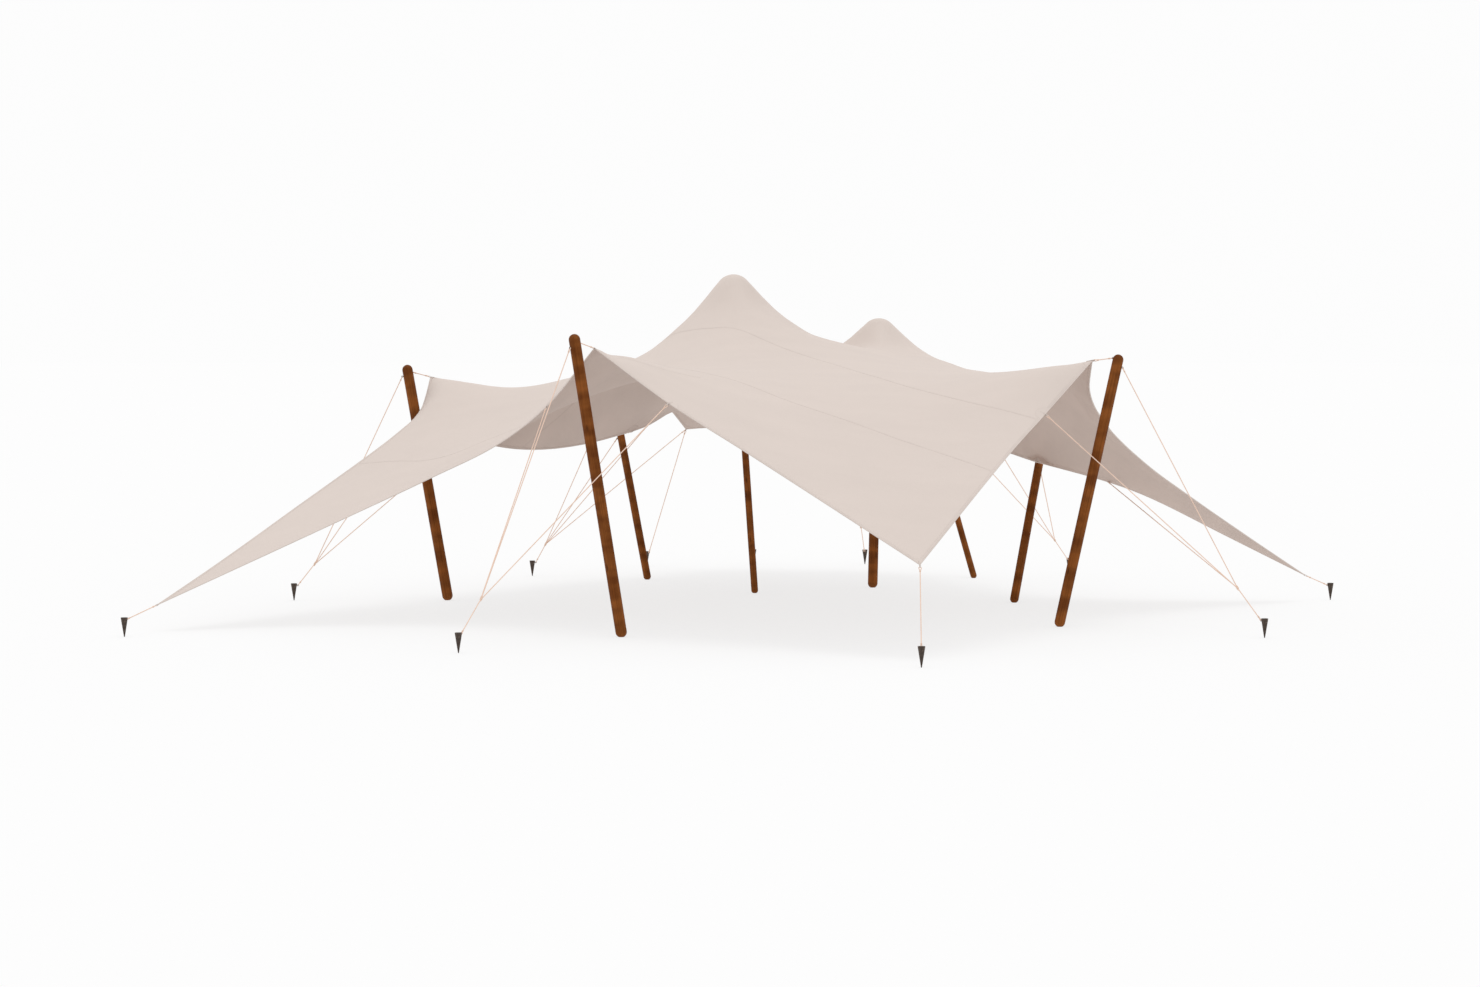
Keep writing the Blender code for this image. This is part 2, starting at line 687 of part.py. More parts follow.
def main():
    clear_scene()
    home = collection("stretch_tent")
    cutters = collection("cutters")
    canopy(home, cutters)
    outer_poles(home, cutters)
    centre_poles(home)
    crown_pads(home)
    stakes(home, cutters)
    head_ties(home)
    corner_ropes(home)
    guys(home, cutters)


main()
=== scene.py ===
"""The looks of a stretch tent: sheet with hem, seams and tabs, ropes, poles, pads and stakes.

The sheet repeats the part's own form on a finer grid. Metres, +Z up, in the part's frame.
"""
import math

import bmesh
import bpy
import numpy as np
from mathutils import Matrix, Vector, noise
from mathutils.bvhtree import BVHTree


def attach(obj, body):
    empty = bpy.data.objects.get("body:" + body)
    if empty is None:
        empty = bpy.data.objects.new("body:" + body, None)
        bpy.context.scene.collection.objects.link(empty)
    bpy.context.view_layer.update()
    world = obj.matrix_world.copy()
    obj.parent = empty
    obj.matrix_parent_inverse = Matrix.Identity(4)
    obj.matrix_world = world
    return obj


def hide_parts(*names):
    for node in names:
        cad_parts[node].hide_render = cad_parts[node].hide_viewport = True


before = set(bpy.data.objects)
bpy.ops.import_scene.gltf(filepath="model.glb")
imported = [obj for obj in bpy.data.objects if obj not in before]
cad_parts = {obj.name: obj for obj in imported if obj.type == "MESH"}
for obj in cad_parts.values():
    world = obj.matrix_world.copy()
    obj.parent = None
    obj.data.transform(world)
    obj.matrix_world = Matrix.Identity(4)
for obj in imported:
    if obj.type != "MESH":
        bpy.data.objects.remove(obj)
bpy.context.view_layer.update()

# Camera: the photograph's, 31 m in front of the tent at the height of the outer pole heads
CAMERA_PLACE = (-0.28, -31.0, 2.7)
CAMERA_DOWN = math.radians(2.834)
SENSOR_WIDTH = 36.0
FOCAL_PIXELS = 3000
IMAGE_WIDTH = 1480

# Stage
STUDIO_WHITE = (0.98, 0.98, 0.98)
SUN_STRENGTH = 0.6
SUN_ANGLE = math.radians(30)
FLOOR_GLOW = (0.7190, 0.7240, 0.7275)
FLOOR_COLOUR = (0.226, 0.221, 0.218)
FLOOR_RADIUS = 400.0
FLOOR_SIDES = 96
FLOOR_DROP = 0.0005  # below the feet, so that their flat ends don't share its plane

# The sheet's form, as in the part
SHEET_CELLS = 48
CROWN_RINGS = 2
CROWN_RADIUS = 0.15
CROWN_CURVE = 0.20
RELAX_ROUNDS = 900
LEAST_STEP = 0.01  # shortest grid edge that the cloth's flow counts with
CURVE_STEPS = 24  # points of a smooth curve for each point given
REFINE = 4  # smooth steps between two of the part's grid points
FINE_CELLS = SHEET_CELLS * REFINE
DOME_BLEND = 0.85  # share of a crown's radius from which its dome eases into the sheet
SHEET_HALF = 0.001  # half the thickness of the cloth

# Kinds of hem point: SHAPE only bends the curve, TIE is also held by a rope, CUSP is a corner in it
SHAPE, TIE, CUSP = 0, 1, 2

HEM = {
    "front": [
        ("corner_left", (-5.78, -2.80, 0.25), CUSP),
        ("", (-4.59, -2.30, 0.80), SHAPE),
        ("", (-3.26, -2.20, 1.42), SHAPE),
        ("", (-2.61, -2.40, 1.74), SHAPE),
        ("b_left", (-2.10, -2.80, 2.12), TIE),
        ("b_head", (-1.63, -3.20, 2.67), CUSP),
        ("b_right", (-0.93, -3.70, 2.17), TIE),
        ("", (-0.21, -4.20, 1.73), SHAPE),
        ("corner_front", (1.26, -5.40, 0.82), CUSP),
    ],
    "right": [
        ("corner_front", (1.26, -5.40, 0.82), CUSP),
        ("", (2.21, -3.50, 1.72), SHAPE),
        ("h_left", (2.59, -2.80, 2.05), TIE),
        ("h_head", (3.09, -2.30, 2.55), CUSP),
        ("", (3.10, -2.00, 2.25), SHAPE),
        ("", (3.29, -1.60, 1.94), SHAPE),
        ("", (3.77, -1.00, 1.52), SHAPE),
        ("", (4.30, -0.50, 1.16), SHAPE),
        ("", (4.98, 0.05, 0.72), SHAPE),
        ("corner_right", (5.69, 0.60, 0.27), CUSP),
    ],
    "back": [
        ("corner_back", (-0.93, 5.00, 1.69), CUSP),
        ("", (-0.52, 4.90, 1.71), SHAPE),
        ("back_tie", (-0.19, 5.20, 1.60), CUSP),
        ("", (0.44, 4.80, 1.64), SHAPE),
        ("f_left", (0.99, 5.00, 1.56), CUSP),
        ("", (1.49, 4.40, 1.63), SHAPE),
        ("f_head", (1.92, 4.10, 1.67), CUSP),
        ("g_far", (2.25, 3.00, 1.60), TIE),
        ("g_near", (2.56, 1.90, 1.55), TIE),
        ("g_head", (2.88, 1.00, 1.45), CUSP),
        ("h_right", (3.62, 0.75, 1.25), TIE),
        ("", (4.05, 0.65, 1.09), SHAPE),
        ("", (4.89, 0.60, 0.67), SHAPE),
        ("corner_right", (5.69, 0.60, 0.27), CUSP),
    ],
    "left": [
        ("corner_left", (-5.78, -2.80, 0.25), CUSP),
        ("", (-5.32, -2.00, 0.60), SHAPE),
        ("", (-4.79, -1.00, 1.03), SHAPE),
        ("", (-3.84, 0.40, 1.80), SHAPE),
        ("a_left", (-3.66, 0.75, 2.01), TIE),
        ("a_head", (-3.59, 1.10, 2.36), CUSP),
        ("a_right", (-3.25, 1.40, 1.72), TIE),
        ("", (-2.96, 1.90, 1.59), SHAPE),
        ("", (-2.52, 2.60, 1.53), SHAPE),
        ("c_left", (-2.00, 3.30, 1.58), TIE),
        ("c_head", (-1.53, 3.65, 1.70), CUSP),
        ("c_right", (-1.36, 3.95, 1.76), TIE),
        ("back_fold", (-1.09, 4.45, 1.92), CUSP),
        ("corner_back", (-0.93, 5.00, 1.69), CUSP),
    ],
}
HEM_POINTS = {row[0]: Vector(row[1]) for rows in HEM.values() for row in rows}

# Crowns: plan place and top height of the sheet over each centre pole
CROWNS = [((-0.35, 1.70), 3.467), ((1.27, 2.55), 2.998)]

# Lines that the tension draws through the sheet: points, pull per square metre and half width
RIDGES = [
    ([(-1.63, -3.20, 2.67), (-1.49, -2.60, 2.66), (-1.30, -2.00, 2.51), (-1.12, -1.40, 2.52)], 33, 0.30),
    ([(-0.15, 1.90, 3.22), (0.16, 2.00, 2.97), (0.38, 2.10, 2.90), (0.59, 1.95, 2.75), (0.81, 2.30, 2.54),
      (1.00, 2.45, 2.70)], 66, 0.35),
    ([(1.56, 2.42, 2.72), (1.72, 2.18, 2.61), (1.90, 1.80, 2.55), (2.04, 1.20, 2.48), (2.12, 0.40, 2.45),
      (2.37, -0.40, 2.42), (2.74, -1.30, 2.46), (3.07, -2.30, 2.58)], 66, 0.35),
    ([(3.22, -1.50, 2.08), (3.30, -1.33, 1.93), (3.42, -1.18, 1.79), (3.55, -1.08, 1.68)], 200, 0.18),
    ([(-1.09, 4.42, 1.94), (-1.03, 4.10, 2.00), (-0.95, 3.75, 2.07)], 60, 0.25),
    ([(-3.60, 1.10, 2.60), (-3.40, 1.17, 2.48), (-3.08, 1.30, 2.31), (-2.71, 1.40, 2.21),
      (-2.10, 1.55, 2.37), (-1.43, 1.65, 2.47), (-1.04, 1.70, 2.79), (-0.69, 1.70, 3.12)], 33, 0.35),
]

# Seams between the panels of cloth, in plan
SEAMS = {
    "front": [(2.02, -3.85), (1.69, -3.61), (1.18, -3.28), (0.71, -2.95), (0.12, -2.58), (-0.40, -2.07),
              (-0.80, -1.82), (-1.30, -1.66), (-2.00, -1.38), (-2.73, -1.02), (-3.13, -1.02),
              (-3.41, -0.87), (-3.77, -0.51), (-4.20, -0.18)],
    "middle": [(2.50, -2.88), (2.29, -2.78), (1.88, -2.47), (1.37, -1.82), (1.01, -1.04), (0.63, -0.16),
               (0.16, 0.49), (-0.26, 0.90), (-0.66, 1.12), (-0.88, 1.25), (-1.50, 1.75), (-2.20, 2.25),
               (-2.72, 2.30)],
    "back": [(-1.62, 3.60), (-0.70, 3.45), (0.30, 3.50), (1.20, 3.50), (2.08, 3.55)],
    "gusset": [(-1.50, -3.10), (-1.26, -2.98), (-1.02, -2.81), (-0.66, -2.48)],
}

# Poles: foot on the ground, middle of the top end, radius
POLES = {
    "a": ((-3.38, 0.70), (-3.82, 0.88, 2.49), 0.055),
    "b": ((-1.38, -3.32), (-1.80, -3.57, 2.80), 0.053),
    "c": ((-1.35, 3.50), (-1.68, 3.82, 1.74), 0.043),
    "f": ((2.43, 3.72), (1.98, 4.32, 1.72), 0.036),
    "g": ((2.60, 0.40), (2.95, 1.18, 1.54), 0.045),
    "h": ((2.79, -2.30), (3.32, -2.49, 2.61), 0.051),
}
CENTRE_POLES = {
    "tall": ((-0.12, 1.61), 0, 0.037),
    "short": ((1.20, 2.36), 1, 0.054),
}
FOOT_CUT = 0.006
POLE_SIDES = 40
POLE_RING = 0.05
POLE_ROUND = 9  # rings of a round end
POLE_WAVE = 0.0008  # how uneven the wood's surface is
GRAIN_SHIFT = 7.0  # between the grain of one pole and of the next
POINT = 0.0006  # radius of the small face that closes a turned end

# Crown pads
PAD_RADIUS = 0.12
PAD_DEPTH = 0.095
PAD_CLEAR = 0.0035
PAD_RIM = 0.012
PAD_HUB = 0.014
PAD_ROUND = 0.002
PAD_RIBS = 8
PAD_RIB_HALF = 0.003
PAD_SEAT = 0.0003  # between a pole's head and the floor of its pad
PAD_STEPS = 12
PAD_SIDES = 48
PAD_LIP = (0.014, 0.001)  # width of the rim's underside, and how far it slopes
PAD_WEB = 0.020  # from the hub to where the cap thickens
PAD_FILLET = [(0.004, 0.006), (0.0, 0.016)]  # out from the hub, down from the cap's inside
PAD_RIB_SUNK = 0.004  # how far a rib goes into the hub and the cap
PAD_RIB_FOOT = 0.008  # from the pad's floor
PAD_RIB_ENDS = (0.006, 0.012)  # from the rim, at the rib's top and at its foot

# Stakes
STAKES = {
    "corner_left": (-5.98, -3.32),
    "a": (-5.00, 0.66),
    "c": (-2.71, 4.02),
    "b": (-2.75, -4.78),
    "corner_back": (-1.42, 5.61),
    "back_tie": (-0.11, 5.97),
    "f": (1.26, 5.91),
    "corner_front": (1.24, -5.97),
    "g": (3.62, 4.48),
    "h": (4.56, -3.42),
    "corner_right": (5.98, 0.72),
}
STAKE_HEIGHT = 0.18
STAKE_TOP_RADIUS = 0.033
STAKE_TIP_RADIUS = 0.004
STAKE_SLOPE = (STAKE_TOP_RADIUS - STAKE_TIP_RADIUS) / STAKE_HEIGHT
STAKE_EYE_HEIGHT = 0.160
STAKE_SIDES = 40
STAKE_WAVE = 0.0005
STAKE_DISH = 0.0012  # how far the middle of the head lies below its rim
STAKE_STEPS = 12
STAKE_HEAD = [(0.0006, 0.004), (0.0, 0.002), (0.0015, 0.0), (0.006, 0.0),
              (0.009, STAKE_DISH)]  # in from the top's radius and down from the top
STAKE_TIP = [(0.7, 0.0003), (1.0, 0.002)]  # share of the tip's radius, and height

# Waviness of turned pieces: how often round and along them, and the radius below which it fades
WAVES_ROUND, WAVES_ALONG = 0.7, 2.5
STAKE_SHIFT = 3.0  # between the waviness of one stake and of the next
WAVE_FADE = 0.02

# Ropes
ROPE_RADIUS = 0.005
ROPE_CORE, ROPE_STRAND = 0.92, 0.08  # shares of the radius: even, and given by the strands
ROPE_LAY = 0.032  # length of one turn of the strands
ROPE_STEP = 0.0038
TIE_DROP = 0.085  # from the top end of an outer pole to its head tie
TIE_DROPS = {"h": 0.048}  # where it differs
GUY_DROP = 0.115  # from the top end to the guy
GUY_NODES = {
    "a": (-4.78, 0.70, 0.39),
    "b": (-2.58, -4.40, 0.45),
    "c": (-2.55, 4.00, 0.38),
    "f": (1.20, 5.60, 0.48),
    "g": (3.40, 4.00, 0.42),
    "h": (4.34, -3.20, 0.45),
}
GUY_STRANDS = {
    "a": ["a_left", "a_right"],
    "b": ["b_left", "b_right"],
    "c": ["c_left", "c_right", "corner_back"],
    "f": ["f_left"],
    "g": ["g_near", "g_far"],
    "h": ["h_left", "h_right"],
}
CORNER_ROPES = ["corner_left", "corner_front", "corner_right", "corner_back", "back_tie"]

# Loops at the ends of ropes: (half width, length), and the outline of one half as shares of them
EYE_LOOP = (0.0088, 0.036)
TAB_LOOP = (0.0108, 0.036)
LOOP_SHAPE = [(1.0, 0.20), (0.78, 0.52), (0.48, 0.92), (0.20, 1.0), (0.04, 0.62), (0.0, 0.0)]
LOOP_RADIUS = 0.0040
LOOP_STEP = 0.004

# Twine that binds a loop or a knot
TWINE_STEP = 0.0007
TWINE_TURN = 0.0028
TWINE_RIDGE = 0.0007
TWINE_END = 0.55  # share of its radius at the ends
TWINE_TAPER = 0.004
WHIP_RADIUS = 0.0070
WHIP_LENGTH = 0.018
WHIP_OVERLAP = 0.004  # from a whipping's start to the end of its loop
KNOT_SPREAD = 0.0062  # from the middle of a knot to the strands beside it
KNOT_BEND = 0.01
KNOT_TAIL = 0.030
KNOT_LENGTH = 0.036
KNOT_RADIUS = 0.0105

# Hem band: (distance from the edge, height over the middle of the cloth), round its top half
HEM_PROFILE = [(0.0340, 0.0006), (0.0340, 0.0018), (0.0330, 0.0022), (0.0300, 0.0022), (0.0295, 0.0018),
               (0.0290, 0.0022), (0.0120, 0.0022), (0.0115, 0.0018), (0.0110, 0.0022), (0.0085, 0.0024),
               (0.0065, 0.0040), (0.0035, 0.0050), (0.0005, 0.0038), (-0.0010, 0.0014)]
HEM_BEAD = 4  # facets under the bead that the upper cloth still covers
HEM_REACH = 8  # grid cells that a band may cross
HEM_LIFTS = {"front": 0.0, "right": 0.0003, "back": 0.0, "left": 0.0003}  # over its neighbours
LEAST_SINE = 0.2  # of the angle between the hem and the grid lines that lead in from it

SEAM_PROFILE = [(-0.0090, 0.0005), (-0.0090, 0.0015), (-0.0084, 0.0019), (-0.0050, 0.0019),
                (-0.0045, 0.0015), (-0.0040, 0.0019), (0.0040, 0.0019), (0.0045, 0.0015),
                (0.0050, 0.0019), (0.0084, 0.0019), (0.0090, 0.0015), (0.0090, 0.0005)]
SEAM_STEP = 0.03
SEAM_UNDER = 0.8  # height of a seam below the cloth, as a share of that above it

PATCH_RADIUS = 0.10
PATCH_SMALL = {"g_head": 0.055}  # where the cloth bends too sharply for a full patch
PATCH_TURNS = 30
PATCH_RINGS = 8
PATCH_LOW, PATCH_TOP = 0.0006, 0.0028
PATCH_ARC = 0.02  # cloth coordinate from one strip of a patch to the next
TIE_CELLS = 3  # grid cells over which the hem's directions at a tie are taken

# Hem tabs: the strap runs over the sewn cloth, over the bead and round the rope in its fold
TAB_HALF = 0.006
TAB_THICK = 0.0014
TAB_SEWN = 0.060
TAB_BEND = 0.030  # from the hem to where the strap starts to rise
TAB_RISE = (0.010, 0.0052)  # from the hem, and height over the cloth
TAB_CREST = 0.0062  # height over the hem
TAB_NECK = (0.012, 0.0004)  # from the hem, and height beyond that of the fold
TAB_FOLD = 0.0215  # from the hem to the rope in the tab's fold
TAB_ROUND = 0.0052
TAB_PROBE = 0.01  # from the hem to where the cloth's normal is taken

EYE_RADIUS = 0.0080
EYE_WIRE = 0.0022
EYE_STEM = 1.25  # thickness of its stem, as a share of the ring's
EYE_STAND = 0.0115  # from a pole's or stake's side to the middle of its eye
EYE_SUNK = 0.003
EYE_TURNS = 24
EYE_STEPS = (0.0021, 0.002)  # along the ring and along the stem

# Colours of the surfaces, linear
ROPE_COLOUR = (0.84, 0.62, 0.50)
TWINE_COLOUR = (0.78, 0.57, 0.45)
WOOD_LIGHT = (0.242, 0.0755, 0.0142)
WOOD_DARK = (0.140, 0.0392, 0.0060)
IRON_COLOUR = (0.072, 0.053, 0.042)
IRON_WORN = (0.132, 0.093, 0.072)
RUBBER_COLOUR = (0.045, 0.040, 0.036)

# The cloth's two faces: colour, streaks a metre, strength of the mottling, how much lighter the
# right-hand side is painted, and tone of the seams. The underside's colour, darker than the top's,
# is painted shade; its lighter right-hand side is painted light
FACES = {
    "top": ((0.632, 0.553, 0.507), (1.0, 3.5, 1.0), 0.020, 1.0, 0.978),
    "under": ((0.520, 0.426, 0.377), (4.0, 0.9, 0.9), 0.060, 1.09, 0.99),
}
RIGHT_LIFT_X = 6.0  # where the painted lightening, which starts near the middle, is measured to
HEM_TONE, STRAP_TONE = 0.99, 0.97

# Cloth finish
CLOTH_ROUGHNESS = 0.82
CLOTH_SHINE = 0.2
CLOTH_SHEEN = 0.06
KNIT_RIBS = 110.0
KNIT_COURSES = 85.0
KNIT_HEIGHT = 0.0002
STITCH_PITCH = 0.006
STITCH_LENGTH = 0.68  # share of the pitch
STITCH_HALF = 0.0007
STITCH_HEIGHT = 0.0005
STITCH_TONE = 0.88
HEM_STITCHES = (0.0115, 0.0295)
SEAM_STITCHES = (-0.0045, 0.0045)
PATCH_STITCHES = (PATCH_RADIUS * 0.93,)
STRAP_STITCHES = (-0.0042, 0.0042)


def new_object(name, data):
    made = bpy.data.objects.new(name, data)
    bpy.context.scene.collection.objects.link(made)
    return made


# Materials

def shade(colour, factor):
    return tuple(value * factor for value in colour)


def grey(value):
    return (value, value, value)


class Look:
    """A material, with short calls for building its node tree. Colours are given without alpha."""

    def __init__(self, name, colour, roughness):
        self.material = bpy.data.materials.new(name)
        self.material.use_nodes = True
        self.material.diffuse_color = (*colour, 1)
        self.tree = self.material.node_tree
        self.shader = self.tree.nodes["Principled BSDF"]
        self.set({"Base Color": colour, "Roughness": roughness})

    def set(self, inputs):
        """Gives the shader's inputs their values or links, and returns the material."""
        for name, value in inputs.items():
            self.feed(self.shader.inputs[name], value)
        return self.material

    def feed(self, socket, value):
        if isinstance(value, bpy.types.NodeSocket):
            self.tree.links.new(value, socket)
        elif socket.type == "RGBA":
            socket.default_value = (*value, 1)
        else:
            socket.default_value = value

    def node(self, kind, output, inputs, **settings):
        """One output of a new node with the inputs and settings given."""
        made = self.tree.nodes.new("ShaderNode" + kind)
        for name, value in settings.items():
            setattr(made, name, value)
        for name, value in inputs.items():
            self.feed(made.inputs[name], value)
        return made.outputs[output]

    def place(self, kind):
        """Object or UV coordinates, in metres."""
        return self.node("TexCoord", kind, {})

    def stretch(self, vector, scale):
        return self.node("Mapping", "Vector", {"Vector": vector, "Scale": scale})

    def noise(self, vector, scale, detail=2.0, roughness=0.5):
        return self.node("TexNoise", "Fac", {"Vector": vector, "Scale": scale, "Detail": detail,
                                             "Roughness": roughness})

    def wave(self, vector, scale, direction, distortion=0.0):
        return self.node("TexWave", "Fac", {"Vector": vector, "Scale": scale, "Distortion": distortion},
                         bands_direction=direction)

    def math(self, operation, first, second=0.0):
        return self.node("Math", 0, {0: first, 1: second}, operation=operation)

    def part(self, vector, axis):
        return self.node("SeparateXYZ", axis, {0: vector})

    def ramp(self, value, stops):
        """Colours at places from 0 to 1."""
        made = self.tree.nodes.new("ShaderNodeValToRGB")
        self.feed(made.inputs["Fac"], value)
        points = made.color_ramp.elements
        while len(points) < len(stops):
            points.new(0.5)
        for point, (where, colour) in zip(points, stops):
            point.position = where
            point.color = (*colour, 1)
        return made.outputs["Color"]

    def mix(self, factor, first, second, blend="MIX"):
        return self.node("Mix", "Result", {"Factor": factor, "A": first, "B": second},
                         data_type="RGBA", blend_type=blend)

    def bump(self, height, distance, normal=None):
        inputs = {"Height": height, "Distance": distance}
        if normal is not None:
            inputs["Normal"] = normal
        return self.node("Bump", "Normal", inputs)

    def knit(self):
        """The height of a fine knit, from cloth coordinates."""
        uv = self.place("UV")
        ribs = self.wave(uv, KNIT_RIBS, "X")
        courses = self.wave(uv, KNIT_COURSES, "Y", 0.6)
        return self.math("MULTIPLY", ribs, courses)

    def lifted_to_right(self, tone, right_lift):
        """A tone made lighter towards the right-hand side: painted light on the underside; on the top face
        only the seams' darker tone is lifted there to the cloth's.
        """
        right = self.math("DIVIDE", self.part(self.place("Object"), "X"), RIGHT_LIFT_X)
        return self.mix(1.0, tone, self.ramp(right, [(0.1, grey(1.0)), (0.45, grey(right_lift))]), "MULTIPLY")


def cloth_material(name, colour, streaks, strength, right_lift):
    """Coated stretch cloth: soft mottling, streaks along the pull and a fine knit."""
    look = Look(name, colour, CLOTH_ROUGHNESS)
    place = look.place("Object")
    clouds = look.noise(place, 1.6, 4.0, 0.6)
    drawn = look.noise(look.stretch(place, streaks), 1.0, 3.0, 0.55)
    value = look.math("MULTIPLY", look.math("ADD", clouds, drawn), 0.5)
    low, high = shade(colour, 1 - strength), shade(colour, 1 + strength)
    tone = look.ramp(value, [(0.32, low), (0.5, colour), (0.68, high)])
    slack = look.bump(look.noise(place, 5.0), 0.004)
    return look.set({
        "Base Color": look.lifted_to_right(tone, right_lift),
        "Roughness": look.ramp(clouds, [(0.3, grey(0.76)), (0.7, grey(0.88))]),
        "Normal": look.bump(look.knit(), KNIT_HEIGHT, slack),
        "Sheen Weight": CLOTH_SHEEN,
        "Sheen Tint": shade(colour, 1.3),
        "Specular IOR Level": CLOTH_SHINE,
    })


def sewn_material(name, colour, lines, right_lift):
    """Cloth with rows of stitches. U runs across the piece and V along it, in metres."""
    look = Look(name, colour, CLOTH_ROUGHNESS)
    uv = look.place("UV")
    rows = None
    for line in lines:
        away = look.math("ABSOLUTE", look.math("SUBTRACT", look.part(uv, "X"), line))
        near = look.math("LESS_THAN", away, STITCH_HALF)
        rows = near if rows is None else look.math("ADD", rows, near)
    beat = look.math("FRACT", look.math("DIVIDE", look.part(uv, "Y"), STITCH_PITCH))
    stitch = look.math("MULTIPLY", rows, look.math("LESS_THAN", beat, STITCH_LENGTH))
    clouds = look.noise(look.place("Object"), 2.4, 3.0, 0.6)
    tone = look.ramp(clouds, [(0.35, shade(colour, 0.97)), (0.65, shade(colour, 1.02))])
    tone = look.mix(stitch, tone, shade(colour, STITCH_TONE))
    cloth = look.bump(look.knit(), KNIT_HEIGHT)
    return look.set({
        "Base Color": look.lifted_to_right(tone, right_lift),
        "Normal": look.bump(stitch, STITCH_HEIGHT, cloth),
        "Specular IOR Level": CLOTH_SHINE,
    })


def fibre_material(name, colour):
    """Twisted fibre with stray light hairs, and fine dark flecks that paint shade into its hollows."""
    look = Look(name, colour, 0.85)
    place = look.place("Object")
    fine = look.noise(place, 900.0)
    broad = look.noise(place, 14.0, 3.0)
    tone = look.ramp(broad, [(0.3, shade(colour, 0.90)), (0.7, shade(colour, 1.06))])
    return look.set({
        "Base Color": look.mix(fine, tone, shade(colour, 0.88)),
        "Normal": look.bump(fine, 0.0002),
        "Specular IOR Level": CLOTH_SHINE,
    })


def wood_material():
    """Stained round wood: soft dark bands along the pole, long grain, pores and a few knots."""
    look = Look("stained_wood", WOOD_LIGHT, 0.6)
    place = look.place("Object")
    bands = look.noise(look.stretch(place, (3.0, 3.0, 6.5)), 1.0)
    grain = look.noise(look.stretch(place, (95.0, 95.0, 2.2)), 1.0, 4.0, 0.6)
    pores = look.noise(look.stretch(place, (420.0, 420.0, 16.0)), 1.0)
    knots = look.stretch(place, (9.0, 9.0, 2.6))
    knots = look.node("TexVoronoi", "Distance", {"Vector": knots, "Scale": 1.0})
    tone = look.ramp(bands, [(0.38, WOOD_DARK), (0.50, shade(WOOD_LIGHT, 0.78)), (0.62, WOOD_LIGHT)])
    streak = look.ramp(grain, [(0.34, (0.70, 0.66, 0.60)), (0.58, grey(1.0)), (0.8, (1.10, 1.08, 1.04))])
    tone = look.mix(1.0, tone, streak, "MULTIPLY")
    spot = look.ramp(knots, [(0.05, grey(1.0)), (0.13, grey(0.0))])
    return look.set({
        "Base Color": look.mix(spot, tone, shade(WOOD_DARK, 0.55)),
        "Roughness": look.ramp(grain, [(0.3, grey(0.70)), (0.7, grey(0.50))]),
        "Normal": look.bump(pores, 0.0003, look.bump(grain, 0.0009)),
        "Specular IOR Level": 0.08,
    })


def iron_material():
    """Forged iron: dark scale, worn lighter patches and hammer marks."""
    look = Look("forged_iron", IRON_COLOUR, 0.6)
    place = look.place("Object")
    patches = look.noise(place, 34.0, 5.0, 0.6)
    tones = [(0.40, shade(IRON_COLOUR, 0.75)), (0.55, IRON_COLOUR), (0.72, IRON_WORN)]
    return look.set({
        "Base Color": look.ramp(patches, tones),
        "Roughness": look.ramp(patches, [(0.4, grey(0.68)), (0.7, grey(0.45))]),
        "Normal": look.bump(look.noise(place, 90.0), 0.0008),
        "Metallic": 0.2,
        "Specular IOR Level": 0.2,
    })


def rubber_material():
    """Moulded rubber with a pale bloom."""
    look = Look("moulded_rubber", RUBBER_COLOUR, 0.7)
    place = look.place("Object")
    bloom = look.noise(place, 18.0, 4.0, 0.6)
    tones = [(0.35, shade(RUBBER_COLOUR, 0.8)), (0.7, shade(RUBBER_COLOUR, 1.5))]
    fine = look.noise(place, 700.0)
    return look.set({"Base Color": look.ramp(bloom, tones), "Normal": look.bump(fine, 0.0003)})


# Stage

def make_camera():
    camera = new_object("camera", bpy.data.cameras.new("camera"))
    camera.location = CAMERA_PLACE
    camera.rotation_euler = (math.pi / 2 - CAMERA_DOWN, 0, 0)
    camera.data.sensor_width = SENSOR_WIDTH
    camera.data.lens = SENSOR_WIDTH * FOCAL_PIXELS / IMAGE_WIDTH
    camera.data.clip_end = 2 * FLOOR_RADIUS
    bpy.context.scene.camera = camera


def make_stage():
    """A white surround, a pale floor with a glow of its own and one soft light from above."""
    bpy.context.scene.view_settings.view_transform = "Standard"
    world = bpy.data.worlds.new("studio")
    world.use_nodes = True
    world.node_tree.nodes["Background"].inputs["Color"].default_value = (*STUDIO_WHITE, 1)
    bpy.context.scene.world = world
    form = bmesh.new()
    bmesh.ops.create_circle(form, cap_ends=True, segments=FLOOR_SIDES, radius=FLOOR_RADIUS)
    mesh = bpy.data.meshes.new("floor")
    form.to_mesh(mesh)
    form.free()
    floor = new_object("floor", mesh)
    floor.location = (0, 0, -FLOOR_DROP)
    look = Look("pale_floor", FLOOR_COLOUR, 1.0)
    inputs = {"Specular IOR Level": 0, "Emission Color": FLOOR_GLOW, "Emission Strength": 1}
    mesh.materials.append(look.set(inputs))
    sun = new_object("soft_light", bpy.data.lights.new("soft_light", "SUN"))
    sun.data.energy = SUN_STRENGTH
    sun.data.angle = SUN_ANGLE


# Meshes

